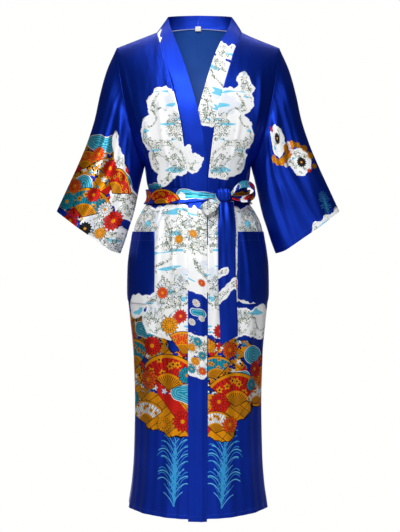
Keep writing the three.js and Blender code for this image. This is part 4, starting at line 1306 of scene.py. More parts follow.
def print_clouds(tree, colour, cut):
    """White cloud banks with aqua wisps, and over parts of them vines, leaves and small blossoms."""
    cloud = torn_bank(tree, cut, "cloud", 44.0, 11 * MM)
    colour = inked(tree, colour, "white", below(tree, cloud, 0.0))
    deep = below(tree, cloud, -7 * MM)
    tint = add(tree, "TexNoise", {"Vector": cut, "Scale": 12.0, "Detail": 4.0}, noise_dimensions="2D")
    tint = add(tree, "Math", (tint, 0.59), operation="GREATER_THAN")
    colour = inked(tree, colour, "mist", all_of(tree, deep, tint))
    wisp = stretched_noise(tree, cut, 10.0, 48.0, 1.0)
    wisps = add(tree, "Math", (wisp, 0.675), operation="GREATER_THAN")
    colour = inked(tree, colour, "aqua", all_of(tree, deep, wisps))
    moved = add(tree, "VectorMath", (cut, (0.37, 0.19, 0.0)), operation="ADD")
    grove = add(tree, "TexNoise", {"Vector": moved, "Scale": 10.0, "Detail": 4.0, "Roughness": 0.65},
                noise_dimensions="2D")
    grove = add(tree, "Math", (grove, 0.52), operation="GREATER_THAN")
    s, v = (add(tree, "SeparateXYZ", (cut,), out=k) for k in range(2))
    aside = add(tree, "Math", (s,), operation="ABSOLUTE")
    flank = add(tree, "Math", (aside, HIP_LEAVES_S), operation="GREATER_THAN")
    hip = all_of(tree, flank, near(tree, v, *HIP_LEAVES_V))
    grove = add(tree, "Math", (grove, hip), operation="MAXIMUM")
    vine = add(tree, "TexNoise", {"Vector": cut, "Scale": 13.0, "Detail": 0.6}, noise_dimensions="2D")
    colour = inked(tree, colour, "vine", all_of(tree, deep, near(tree, vine, 0.5, 0.005)))
    where = add(tree, "Math", (add(tree, "Math", (vine, 0.5), operation="SUBTRACT"),), operation="ABSOLUTE")
    beside = below(tree, where, 0.036)
    planted = all_of(tree, deep, add(tree, "Math", (grove, beside), operation="MAXIMUM"))
    for spacing, seed, count, size, notch, ink in (
        (15.0 * MM, 0.7, 6, 0.50, 0.62, "leaf"),
        (17.0 * MM, 2.9, 5, 0.48, 0.66, "vine"),
        (15.0 * MM, 4.1, 2, 0.36, 0.72, "shade"),
        (24.0 * MM, 5.3, 5, 0.30, 0.28, "vine"),
        (24.0 * MM, 5.3, 5, 0.25, 0.28, "white"),
        (24.0 * MM, 5.3, 5, 0.08, 0.20, "blossom"),
    ):
        radius, angle, _ = scattered(tree, cut, spacing, seed)
        flower = petals(tree, radius, angle, count, size, notch)
        colour = inked(tree, colour, ink, all_of(tree, planted, flower))
    return colour


def print_fans(tree, colour):
    """Folding fans: ribs near the pivot, a pleated leaf with small flowers, and a gold rim."""
    x, y, distance = local_field(tree, "fan")
    kind = add(tree, "Attribute", out=2, attribute_name="fan_kind")
    radius, angle = polar(tree, x, y)
    inside = below(tree, distance, 0.0)
    leaf = ramp(tree, kind, FAN_INKS)
    colour = inked(tree, colour, leaf, inside)
    pleats = stripes(tree, angle, 2 * FAN_HALF_SPREAD / FAN_RIBS, 0.14)
    colour = inked(tree, colour, "black", all_of(tree, inside, pleats))
    plane = add(tree, "CombineXYZ", (x, y, kind))
    flower_radius, flower_angle, random = scattered(tree, plane, 0.30, 3.1)
    flower = petals(tree, flower_radius, flower_angle, 5, 0.36, 0.22)
    on_leaf = add(tree, "Math", (radius, 0.50), operation="GREATER_THAN")
    colour = inked(tree, colour, "gold", all_of(tree, inside, on_leaf, flower))
    heart = below(tree, flower_radius, 0.10)
    colour = inked(tree, colour, "black", all_of(tree, inside, on_leaf, heart))
    ribs = all_of(tree, inside, below(tree, radius, 0.42))
    colour = inked(tree, colour, "gold", ribs)
    bars = stripes(tree, angle, 2 * FAN_HALF_SPREAD / FAN_RIBS, 0.42)
    colour = inked(tree, colour, "lattice", all_of(tree, ribs, bars))
    colour = inked(tree, colour, "gold", all_of(tree, inside, near(tree, radius, 0.955, 0.05)))
    colour = inked(tree, colour, "gold", all_of(tree, inside, near(tree, radius, 0.44, 0.03)))
    return inked(tree, colour, "black", near(tree, distance, 0.0, 0.9 * MM))


def print_blooms(tree, colour):
    """Chrysanthemums: two rings of petals, the inner one turned by half a petal, round a gold heart."""
    x, y, distance = local_field(tree, "bloom")
    kind = add(tree, "Attribute", out=2, attribute_name="bloom_kind")
    radius, angle = polar(tree, x, y)
    valid = below(tree, distance, 2 * MM)
    rim = all_of(tree, valid, petals(tree, radius, angle, OUTER_PETALS, 1.04, 0.10))
    colour = inked(tree, colour, "black", rim)
    outer = all_of(tree, valid, petals(tree, radius, angle, OUTER_PETALS, 0.97, 0.10))
    petal = ramp(tree, kind, BLOOM_INKS)
    colour = inked(tree, colour, petal, outer)
    half_petal = math.pi / OUTER_PETALS
    between = stripes(tree, add(tree, "Math", (angle, half_petal), operation="ADD"), 2 * half_petal, 0.13)
    outside = add(tree, "Math", (radius, 0.52), operation="GREATER_THAN")
    colour = inked(tree, colour, "black", all_of(tree, outer, between, outside))
    rim = petals(tree, radius, angle, INNER_PETALS, 0.60, 0.12)
    colour = inked(tree, colour, "black", all_of(tree, valid, rim))
    ring = petals(tree, radius, angle, INNER_PETALS, 0.54, 0.12)
    colour = inked(tree, colour, petal, all_of(tree, valid, ring))
    half_petal = math.pi / INNER_PETALS
    inner = stripes(tree, add(tree, "Math", (angle, half_petal), operation="ADD"), 2 * half_petal, 0.15)
    colour = inked(tree, colour, "black", all_of(tree, below(tree, radius, 0.50), inner))
    colour = inked(tree, colour, "gold", below(tree, radius, 0.20))
    return colour


def print_reeds(tree, colour):
    """Plumes of reeds: two sets of thin blades that leave a frayed stem by turns and arch over, each along a
    line of equal u = y - a|x| + b x^2, at lengths that a noise of u changes from blade to blade."""
    x, y, distance = local_field(tree, "reed")
    inside = below(tree, distance, 0.0)
    side = add(tree, "Math", (x,), operation="ABSOLUTE")
    for rise, droop, pitch, width, ink in ((1.9, 5.5, 0.097, 0.13, "aqua"), (3.2, 9.0, 0.071, 0.15, "reed")):
        lean = add(tree, "Math", (side, droop, -rise), operation="MULTIPLY_ADD")
        u = add(tree, "Math", (side, lean, y), operation="MULTIPLY_ADD")
        by_turns = add(tree, "Math", (below(tree, x, 0.0), 0.47 * pitch, u), operation="MULTIPLY_ADD")
        step = add(tree, "Math", (by_turns, pitch), operation="DIVIDE")
        step = add(tree, "Math", (step,), operation="FLOOR")
        uneven = add(tree, "TexWhiteNoise", {"W": step}, noise_dimensions="1D")
        reach = add(tree, "Math", (uneven, 0.15, 0.13), operation="MULTIPLY_ADD")
        off = add(tree, "Math", (by_turns, -0.38), operation="ADD")
        off = add(tree, "Math", (add(tree, "Math", (off, off), operation="MULTIPLY"), -0.45, reach),
                  operation="MULTIPLY_ADD")
        within = add(tree, "Math", (side, off), operation="LESS_THAN")
        within = all_of(tree, within, add(tree, "Math", (u, 0.0), operation="GREATER_THAN"))
        blades = all_of(tree, inside, within, stripes(tree, by_turns, pitch, width))
        colour = inked(tree, colour, ink, blades)
    plane = add(tree, "CombineXYZ", (x, y, 0.0))
    frayed = add(tree, "TexNoise", {"Vector": plane, "Scale": 44.0, "Detail": 3.0}, noise_dimensions="2D")
    taper = add(tree, "Math", (add(tree, "Math", (y, -0.42), operation="ADD"),), operation="ABSOLUTE")
    taper = add(tree, "Math", (taper, -0.22, 0.11), operation="MULTIPLY_ADD")
    ragged = add(tree, "Math", (frayed, 2.6, -0.85), operation="MULTIPLY_ADD")
    width = add(tree, "Math", (ragged, taper), operation="MULTIPLY")
    stem = all_of(tree, inside, add(tree, "Math", (side, width), operation="LESS_THAN"),
                  add(tree, "Math", (y, 0.0), operation="GREATER_THAN"))
    return inked(tree, colour, "reed", stem)


def satin_relief(tree, cut, strength):
    """The bump of satin: long shallow ripples along the warp, fine crinkle, its slanting floats drawn as wide
    as they need to show, and a pucker with a dip along each sewn edge."""
    ripple = stretched_noise(tree, cut, 20.0, 5.0, 2.0)
    crinkle = stretched_noise(tree, cut, 120.0, 60.0, 3.0)
    floats = stretched_noise(tree, cut, 900.0, 420.0, 1.0)
    sewn = add(tree, "Attribute", out=2, attribute_name="sewn")
    dip = add(tree, "MapRange", (sewn, 0.0, 3.5 * MM, -0.5, 0.0), interpolation_type="SMOOTHSTEP")
    close = add(tree, "MapRange", (sewn, 0.0, 26 * MM, 1.0, 0.0), interpolation_type="SMOOTHSTEP")
    pucker = add(tree, "Math", (crinkle, close), operation="MULTIPLY")
    height = add(tree, "Math", (ripple, 2.6, dip), operation="MULTIPLY_ADD")
    height = add(tree, "Math", (crinkle, 0.22, height), operation="MULTIPLY_ADD")
    height = add(tree, "Math", (pucker, 0.60, height), operation="MULTIPLY_ADD")
    height = add(tree, "Math", (floats, 0.015, height), operation="MULTIPLY_ADD")
    return add(tree, "Bump", {"Strength": strength, "Distance": 1.6 * MM, "Height": height})


def printed_satin():
    """Polyester satin, dyed and screen printed: the floats on its face give a soft gloss along the folds."""
    material, tree = new_material("printed_satin")
    cut = add(tree, "UVMap", uv_map="cut")
    tone = add(tree, "TexNoise", {"Vector": cut, "Scale": 9.0, "Detail": 1.0}, noise_dimensions="2D")
    colour = dyed(tree, "royal", tone, 0.90, 1.08)
    colour = print_reeds(tree, colour)
    colour = print_gilt(tree, colour, cut)
    colour = print_water(tree, colour)
    colour = print_clouds(tree, colour, cut)
    colour = print_fans(tree, colour)
    colour = print_blooms(tree, colour)
    normal = satin_relief(tree, cut, 0.55)
    cloud = add(tree, "Attribute", out=2, attribute_name="cloud")
    sheen = add(tree, "MapRange", (cloud, -2 * MM, 2 * MM, 0.10, 0.80))
    across = add(tree, "Tangent", direction_type="UV_MAP", uv_map="cut")
    shader = add(tree, "BsdfPrincipled", {
        "Base Color": colour, "Metallic": sheen, "Roughness": 0.44, "Specular IOR Level": 0.25,
        "Anisotropic": 0.6, "Anisotropic Rotation": 0.25, "Tangent": across, "Normal": normal,
    })
    add(tree, "OutputMaterial", (shader,))
    return material


def satin_reverse():
    """The reverse of the same satin: the warp's floats are on the other face, so it is duller and greyer."""
    material, tree = new_material("satin_reverse")
    cut = add(tree, "UVMap", uv_map="cut")
    tone = add(tree, "TexNoise", {"Vector": cut, "Scale": 14.0, "Detail": 2.0}, noise_dimensions="2D")
    colour = dyed(tree, "reverse", tone, 0.92, 1.06)
    normal = satin_relief(tree, cut, 0.4)
    shader = add(tree, "BsdfPrincipled", {
        "Base Color": colour, "Roughness": 0.60, "Specular IOR Level": 0.3, "Normal": normal,
    })
    add(tree, "OutputMaterial", (shader,))
    return material


def plain_material(name, ink, roughness, grain_mm, depth):
    """Plain thread or woven tape: one dye, with a grain of its own size in colour and relief."""
    material, tree = new_material(name)
    place = add(tree, "TexCoord", out=3)
    grain = add(tree, "TexNoise", {"Vector": place, "Scale": 1 / (grain_mm * MM), "Detail": 2.0})
    colour = dyed(tree, ink, grain, 0.85, 1.05)
    normal = add(tree, "Bump", {"Strength": 0.5, "Distance": depth * MM, "Height": grain})
    shader = add(tree, "BsdfPrincipled", {"Base Color": colour, "Roughness": roughness, "Normal": normal})
    add(tree, "OutputMaterial", (shader,))
    return material


PRINTED = printed_satin()
MATERIALS = {
    "blue_satin": PRINTED,
    "printed_satin": PRINTED,
    "sash_satin": PRINTED,
    "reverse": satin_reverse(),
    "label_cloth": plain_material("woven_label", "label", 0.75, 0.8, 0.1),
    "thread": plain_material("polyester_thread", "thread", 0.45, 0.5, 0.1),
    "overlock": plain_material("overlock_thread", "overlock", 0.6, 0.6, 0.2),
}


# Panels


def grid_rows(shape):
    """(z, yoke) of every point of a panel's grid, by rows, as columns to be broadcast."""
    z, yoke = panel_rows(shape[0])
    return z[:, None], yoke[:, None]


def side_distance(grid):
    """Distance across the cloth to the nearer of its two sewn sides."""
    across = arc_length(grid, 1)
    return np.minimum(across, across[:, -1:] - across)


def sewn_distance(grid):
    """Distance to the nearest sewn line of a panel: its sides, its top or its hem's stitches."""
    up = arc_length(grid, 0)
    return np.minimum.reduce([side_distance(grid), up[-1:] - up, np.abs(up - HEM_DEPTH)])


def make_front(name, side, node, prints):
    """A front panel, cut from s at its front edge and v as its height."""
    z, yoke = grid_rows(FRONT_GRID)
    across = np.linspace(0, 1, FRONT_GRID[1])[None, :]
    grid = front_panel(side, across, z, yoke)
    edge = look_up(FRONT_EDGE, "z", "x", edge_height(z, yoke))
    cut = np.stack([edge + arc_length(grid, 1), grid[..., 2]], axis=-1)
    sewn = sewn_distance(grid)
    piece = cloth(name, grid, cut, prints, SATIN, node, "blue_satin", sewn=sewn, hem=HEM_DEPTH)


def make_back():
    """The back panel, cut from s = 0 at its middle line and v as its height."""
    z, yoke = grid_rows(BACK_GRID)
    across = np.linspace(-1, 1, BACK_GRID[1])[None, :]
    grid = back_panel(across, z, yoke)
    length = arc_length(grid, 1)
    cut = np.stack([length - length[:, -1:] / 2, grid[..., 2]], axis=-1)
    sewn = sewn_distance(grid)
    piece = cloth("back_panel", grid, cut, BACK_PRINT, SATIN, "back", "blue_satin", sewn=sewn, hem=HEM_DEPTH)


# Sleeves


def sleeve_tube(side, turn, along):
    """A sleeve before it is fitted to its armhole: an ellipse flattened front to back, with folds as ridges
    of its depth. turn runs from -1 under the arm up the back to 0 at the top fold and down the front to 1."""
    down = (1 - np.cos(np.pi * turn)) / 2
    depth = look_up(SLEEVE, "along", "half_depth", along) + 0 * turn
    for fold in rows_of(SLEEVE_FOLDS):
        middle = mix(fold["round0"], fold["round1"], along)
        length = ease(fold["start"], fold["start"] + SLEEVE_FADE, along)
        length = length * (1 - ease(fold["end"] - SLEEVE_FADE, fold["end"], along))
        ridge = np.exp(-(((turn - middle) / fold["width"]) ** 2))
        depth = depth + fold["depth"] * ridge * length * ease(0, SLEEVE_FADE, along)
    sine = np.sin(np.pi * turn)
    x = mix(look_up(SLEEVE, "along", "top_x", along), look_up(SLEEVE, "along", "under_x", along), down)
    z = mix(look_up(SLEEVE, "along", "top_z", along), look_up(SLEEVE, "along", "under_z", along), down)
    return np.stack([side * x, -np.sign(sine) * np.abs(sine) ** SLEEVE_SQUARE * depth, z], axis=-1)


def armhole_ring(side, turn):
    """The armhole's seam: the front panel's edge where turn is positive, and the back panel's elsewhere."""
    yoke = 1 - np.abs(turn) ** YOKE_EASE
    z = np.full(turn.shape, ARMPIT_Z)
    front = front_panel(side, np.ones_like(turn), z, yoke)
    back = back_panel(side * np.ones_like(turn), z, yoke)
    return np.where(turn[..., None] > 0, front, back)


def sleeve_cut(turn, along):
    """A sleeve laid flat: s runs from its top fold, plus on the front half, and v from the shoulder to the
    cuff. Seen from the front the sleeve is flat enough for its x and z, turned to the top fold's slope, to
    stand for both."""
    at = {key: look_up(SLEEVE, "along", key, along) for key in ("top_x", "top_z", "under_x", "under_z")}
    down = (1 - np.cos(np.pi * turn)) / 2
    x = (at["under_x"] - at["top_x"]) * down
    z = (at["under_z"] - at["top_z"]) * down
    run, fall = SLEEVE_SLOPE
    start = (at["top_x"] - SHOULDER_TIP_X) * run + (at["top_z"] - SHOULDER_TIP_Z) * fall
    s = SLEEVE_FULLNESS * (x * fall + z * -run)
    v = start + x * run + z * fall
    return np.stack([np.where(turn < 0, -s, s), -v], axis=-1)


def make_sleeve(name, side, node, prints):
    """A sleeve: its tube, moved at each turn onto the armhole's seam by a step that fades to the cuff."""
    rows, count = SLEEVE_GRID
    turn = np.linspace(-1, 1, count + 1)[None, :-1]
    along = np.linspace(0, 1, rows)[:, None]
    fitting = armhole_ring(side, turn) - sleeve_tube(side, turn, np.zeros((1, 1)))
    grid = sleeve_tube(side, turn, along) + fitting * ((1 - along) ** SLEEVE_FIT)[..., None]
    grid[0, :, 0] += side * ARMHOLE_GAP
    turns = np.linspace(-1, 1, count + 1)[None, :]
    cut = sleeve_cut(turns, along)
    to_seam = SLEEVE_HALF_GIRTH * (1 - np.abs(turns))
    sewn = np.minimum(SLEEVE_LENGTH * along + 0 * turns, to_seam + 0 * along)
    piece = cloth(name, grid, cut, prints, SATIN, node, "printed_satin", wraps=True,
                  centre=grid.mean(axis=1, keepdims=True), sewn=sewn, hem=-HEM_DEPTH)


# Band


def free_edge(side, seam_z, lift):
    """The band's free edge across from its seam: on the chest where stand is 0, at its own y where it's 1."""
    x = -side * look_up(FREE_EDGE, "seam_z", "x", seam_z)
    z = look_up(FREE_EDGE, "seam_z", "z", seam_z)
    chest = front_point(x, z, lift)[..., 1]
    y = mix(chest, look_up(FREE_EDGE, "seam_z", "y", seam_z), look_up(FREE_EDGE, "seam_z", "stand", seam_z))
    return np.stack([x, y, z], axis=-1)


def make_band(name, side, node, prints):
    """One half of the band: straight lines from the panel's edge to its free edge, laid on the chest up to
    where it stands, then from the neckline's seam to the collar's top as far as the nape."""
    z, yoke = panel_rows(BAND_GRID[0])
    across = np.linspace(0, 1, BAND_GRID[1])[None, :, None]
    seam_z = edge_height(z, yoke)
    lift = BAND_STEP + overlap_lift(side, seam_z)
    seam = front_panel(side, np.zeros_like(z), z, yoke)
    seam[:, 0] += side * SEAM_COVER
    seam[:, 1] -= BAND_STEP * (1 - yoke)
    free = free_edge(side, seam_z, lift)
    if side < 0:
        hanging = 1 - ease(HEM_Z, HEM_Z + BAND_DROP_HEIGHT, z)
        seam[:, 2] -= BAND_DROP * hanging
        free[:, 2] -= BAND_DROP * hanging
    flat = mix(seam[:, None, :], free[:, None, :], across)
    chest = front_point(flat[..., 0], flat[..., 2], lift[:, None])[..., 1]
    straight = ease(BAND_LIES_Z, BAND_STANDS_Z, seam_z)[:, None]
    chest = np.where(seam_z[:, None] > COLLAR_STARTS_Z, flat[..., 1], chest)
    flat[..., 1] = mix(chest, flat[..., 1], straight)
    if side < 0:
        roll = np.exp(-(((across[..., 0] - BAND_ROLL_AT) / BAND_ROLL_WIDTH) ** 2))
        flat[..., 1] -= BAND_ROLL * roll * (1 - ease(*BAND_ROLL_Z, z))[:, None]
    share = np.linspace(0, 1, COLLAR_ROWS + 1)[1:]
    lowest = np.full(COLLAR_ROWS, ARMPIT_Z)
    collar_seam = back_panel(side * (1 - share) * NECK_SHARE, lowest, np.ones(COLLAR_ROWS))
    collar_seam[:, 2] += COLLAR_SEAM_GAP
    top = np.stack([look_up(COLLAR_TOP, "share", key, share) for key in ("x", "y", "z")], axis=-1)
    top[:, 0] *= side
    collar_seam[-1, 0] = top[-1, 0] = side * NAPE_GAP
    collar = mix(collar_seam[:, None, :], top[:, None, :], across)
    grid = np.concatenate([flat, collar])
    grid += band_waves(grid, side)
    length = arc_length(grid, 0)[:, :1]
    edge = np.concatenate([look_up(FRONT_EDGE, "z", "x", seam_z), np.full(COLLAR_ROWS, NECK_X)])
    v = HEM_Z + length
    s = edge[:, None] - np.linspace(0, BAND_WIDTH, BAND_GRID[1])[None, :]
    cut = np.stack([s, v + 0 * s], axis=-1)
    sewn = arc_length(grid, 1)
    piece = cloth(name, grid, cut, prints, BAND_SATIN, node, "blue_satin", sewn=sewn, lining="blue_satin",
                  hem=HEM_DEPTH)


def band_waves(grid, side):
    """Soft uneven waves of the band, as sines along its height that fade at the collar's top."""
    z = grid[..., 2]
    wave = np.sin(41 * z + 2 * side) + 0.6 * np.sin(83 * z + side)
    across = np.linspace(0, 1, grid.shape[1])[None, :]
    amount = BAND_WAVE * across * (1 - ease(-0.1, 0.0, z))
    return np.stack([0 * z, -np.abs(wave) * amount, 0 * z], axis=-1)


# Pockets


def make_pocket(name, side, inner_x, node, prints):
    """A patch pocket: the body's surface moved out, inset by quarter circles at its lower corners, with a
    mouth that gapes by a half sine. Gives its grid."""
    rows, count = POCKET_GRID
    turn = np.linspace(0, np.pi / 2, POCKET_CORNER_ROWS + 1)[:-1]
    straight = np.linspace(POCKET_CORNER, POCKET_HEIGHT, rows - POCKET_CORNER_ROWS)
    up = np.concatenate([POCKET_CORNER * (1 - np.cos(turn)), straight])
    inset = np.concatenate([POCKET_CORNER * (1 - np.sin(turn)), np.zeros(rows - POCKET_CORNER_ROWS)])
    z = (POCKET_TOP_Z - POCKET_HEIGHT + up)[:, None]
    inset = inset[:, None]
    across = np.linspace(0, 1, count)[None, :]
    outer = POCKET_OUTER_ANGLE - np.degrees(inset / look_up(SECTIONS, "z", "front", z))
    angle = mix(angle_at(inner_x + inset, z), outer, across)
    gaping = ease(POCKET_HEIGHT - POCKET_MOUTH_DEPTH, POCKET_HEIGHT, up)[:, None]
    mouth = POCKET_MOUTH * np.sin(np.pi * across) * gaping
    grid = body_point(side * angle, z, top_edge(0 * angle, False), POCKET_LIFT + mouth)
    start = POCKET_CUT_START + inner_x + inset
    cut = np.stack([start + arc_length(grid, 1), grid[..., 2]], axis=-1)
    height = arc_length(grid, 0)
    sewn = np.minimum.reduce([side_distance(grid), height, np.abs(height[-1:] - height - POCKET_HEM)])
    piece = cloth(name, grid, cut, prints, SATIN, node, "blue_satin", sewn=sewn)
    return grid


# Sash


def make_wrap():
    """The sash round the waist, with lengthwise pleats that draw together at the knot."""
    rows, count = BELT_GRID
    turn = np.linspace(0, 1, count + 1)[None, :-1]
    across = np.linspace(-0.5, 0.5, rows)[:, None]
    from_knot = np.minimum(turn, 1 - turn)
    height = mix(BELT_HEIGHT_AT_KNOT, BELT_HEIGHT, ease(*BUNCHED, from_knot))
    angle = KNOT_ANGLE + 360 * turn
    radians = angle / 57.3
    wander = 0.05 * np.sin(9 * radians) + 0.04 * np.sin(5 * radians)
    pleats = np.abs(np.sin(np.pi * (WRAP_PLEATS * (across + wander)))) ** 0.6
    deeper = mix(WRAP_PLEAT_AT_KNOT, WRAP_PLEAT, ease(0.02, 0.2, from_knot))
    z = BELT_Z + across * height
    grid = body_point(angle, z, top_edge(0 * angle, False), BELT_LIFT + deeper * pleats)
    turns = np.linspace(0, 1, count + 1)[None, :]
    cut = np.stack([WRAP_LENGTH * turns + 0 * across, SASH_WIDTH * across + 0 * turns], axis=-1)
    piece = cloth("sash_round_waist", grid, cut, WRAP_PRINT, SASH_SATIN, "belt_wrap", "sash_satin",
                  wraps=True, lining="sash_satin")


def make_tail(name, node, prints, shape):
    """A hanging end: the panel's points moved out, with lengthwise pleats at the knot that open downwards."""
    rows, count = TAIL_GRID
    down = np.linspace(0, 1, rows)[:, None]
    across = np.linspace(-0.5, 0.5, count)[None, :]
    wide = SASH_WIDTH * mix(0.84, 1, ease(0, 0.22, down))
    z = mix(shape["top_z"], shape["bottom_z"] - shape["slant"] * across, down)
    x = mix(shape["top_x"], shape["bottom_x"], down) - wide * across
    x = x + TAIL_SWAY * np.sin(9 * down + shape["phase"]) * down
    pleats = np.abs(np.cos(np.pi * (2 * across + 0.25))) * (1 - ease(0, 0.5, down)) * TAIL_PLEAT
    crease = TAIL_CREASE * np.exp(-(((across - 0.16 + 0.1 * down) / 0.09) ** 2)) * (1 - ease(0.5, 1, down))
    grid = front_point(x, z, shape["clear"] + SASH_SATIN)
    grid[..., 1] -= shape["reach"] * (1 - ease(0, 0.4, down)) * (1 - across * across) + pleats + crease
    length = arc_length(grid, 0)[:, :1]
    cut = np.stack([-SASH_WIDTH * across + 0 * down, -length + 0 * across], axis=-1)
    sewn = np.minimum(np.abs(across + 0.5), np.abs(0.5 - across)) * SASH_WIDTH + 0 * down
    piece = cloth(name, grid, cut, prints, SASH_SATIN, node, "blue_satin", sewn=sewn, lining="blue_satin")


TAIL_OVER = {
    "top_x": 0.071, "bottom_x": 0.078, "top_z": -0.4616, "bottom_z": -0.824,
    "clear": 0.005, "reach": 0.015, "slant": 0.022, "phase": 0.0,
}
TAIL_UNDER = {
    "top_x": 0.073, "bottom_x": 0.079, "top_z": -0.460, "bottom_z": -0.700,
    "clear": 0.0022, "reach": 0.011, "slant": 0.024, "phase": 2.0,
}
BOW_PATH = (
    (0.0876, -0.108, -0.441),
    (0.098, -0.107, -0.428),
    (0.116, -0.103, -0.417),
    (0.137, -0.099, -0.418),
    (0.149, -0.097, -0.431),
    (0.144, -0.098, -0.446),
    (0.122, -0.102, -0.454),
    (0.100, -0.107, -0.453),
    (0.089, -0.109, -0.450),
)
FOLD_PATH = (
    (0.054, -0.1135, -0.458),
    (0.036, -0.121, -0.471),
    (0.019, -0.121, -0.483),
    (0.015, -0.117, -0.488),
    (0.021, -0.113, -0.484),
    (0.051, -0.1065, -0.4625),
)


def curve_through(path, count):
    """Points along a centripetal Catmull-Rom curve through the path, evenly spaced by length."""
    points = np.array(path)
    points = np.concatenate([[2 * points[0] - points[1]], points, [2 * points[-1] - points[-2]]])
    knots = np.concatenate([[0], np.cumsum(np.sqrt(np.linalg.norm(np.diff(points, axis=0), axis=1)))])
    at = np.linspace(knots[1], knots[-2], 12 * count)
    i = np.clip(np.searchsorted(knots, at, side="right") - 1, 1, len(knots) - 3)
    t0, t1, t2, t3 = (knots[i + k][:, None] for k in (-1, 0, 1, 2))
    p0, p1, p2, p3 = (points[i + k] for k in (-1, 0, 1, 2))
    t = at[:, None]
    a1 = (t1 - t) / (t1 - t0) * p0 + (t - t0) / (t1 - t0) * p1
    a2 = (t2 - t) / (t2 - t1) * p1 + (t - t1) / (t2 - t1) * p2
    a3 = (t3 - t) / (t3 - t2) * p2 + (t - t2) / (t3 - t2) * p3
    b1 = (t2 - t) / (t2 - t0) * a1 + (t - t0) / (t2 - t0) * a2
    b2 = (t3 - t) / (t3 - t1) * a2 + (t - t1) / (t3 - t1) * a3
    fine = (t2 - t) / (t2 - t1) * b1 + (t - t1) / (t2 - t1) * b2
    length = np.concatenate([[0], np.cumsum(np.linalg.norm(np.diff(fine, axis=0), axis=1))])
    even = np.linspace(0, length[-1], count)
    return np.stack([np.interp(even, length, fine[:, k]) for k in range(3)], axis=-1)


def make_loop(name, node, prints, path, direction, width):
    """A loop of the sash: its width laid along one direction at each point of the path, with pleated ends."""
    rows, count = LOOP_GRID
    middle = curve_through(path, rows)
    share = np.linspace(0, 1, rows)[:, None]
    across = np.linspace(-0.5, 0.5, count)[None, :]
    wide = width * mix(0.5, 1, ease(0, 0.25, np.minimum(share, 1 - share)))
    direction = np.array(direction) / np.linalg.norm(direction)
    grid = middle[:, None, :] + direction * (wide * across)[..., None]
    tangent = np.gradient(middle, axis=0)
    outward = np.cross(np.broadcast_to(direction, tangent.shape), tangent)
    outward /= np.linalg.norm(outward, axis=1, keepdims=True)
    pleats = np.cos(np.pi * 5 * across) * (1 - ease(0, 0.35, np.minimum(share, 1 - share))) * LOOP_PLEAT
    grid += outward[:, None, :] * pleats[..., None]
    cut = np.stack([width * across + 0 * share, arc_length(grid, 0)], axis=-1)
    sewn = (0.5 - np.abs(across)) * width + 0 * share
    piece = cloth(name, grid, cut, prints, SASH_SATIN, node, "sash_satin",
                  centre=grid.mean(axis=1, keepdims=True), sewn=sewn, lining="sash_satin")


def make_knot():
    """The knot: a squared ellipsoid with pleats down it that run on into the end below."""
    rows, count = KNOT_GRID
    lat = np.linspace(-np.pi / 2, np.pi / 2, rows)[:, None]
    lon = np.linspace(-np.pi, np.pi, count + 1)[None, :-1]
    x, y, z = np.cos(lat) * np.cos(lon), np.cos(lat) * np.sin(lon), np.sin(lat) + 0 * lon
    wound = np.abs(np.cos(np.pi * (2.3 * x + 0.2 + 0.25 * z))) ** 0.7
    size = KNOT_SIZE[0] + KNOT_SIZE[1] * wound
    squared = [np.sign(c) * np.abs(c) ** KNOT_SQUARE for c in (x, y, z)]
    grid = np.stack([KNOT_CENTRE[k] + KNOT_HALF[k] * squared[k] * size for k in range(3)], axis=-1)
    points = np.concatenate([grid[1:-1].reshape(-1, 3), grid[:1].mean(axis=1), grid[-1:].mean(axis=1)])
    inner = rows - 2
    i, j = (a.ravel() for a in np.meshgrid(np.arange(inner - 1), np.arange(count), indexing="ij"))
    k = (j + 1) % count
    quads = np.stack([i * count + j, i * count + k, (i + 1) * count + k, (i + 1) * count + j], axis=1)
    around = np.arange(count)
    following = (around + 1) % count
    south = np.stack([np.full(count, inner * count), following, around], axis=1)
    north_row = (inner - 1) * count
    north = np.stack([np.full(count, inner * count + 1), north_row + around, north_row + following], axis=1)
    mesh = bpy.data.meshes.new("sash_knot")
    mesh.from_pydata(points, [], quads.tolist() + south.tolist() + north.tolist())
    mesh.polygons.foreach_set("use_smooth", np.ones(len(mesh.polygons), bool))
    corner = np.empty(len(mesh.loops), np.int32)
    mesh.loops.foreach_get("vertex_index", corner)
    cut = np.stack([points[:, 0] - KNOT_CENTRE[0], points[:, 2] - KNOT_CENTRE[2]], axis=-1)
    write_print(mesh, corner, cut, np.full(len(cut), FAR), KNOT_PRINT)
    mesh.materials.append(MATERIALS["sash_satin"])
    piece = add_piece("sash_knot", mesh, "belt_knot")


# Sewing


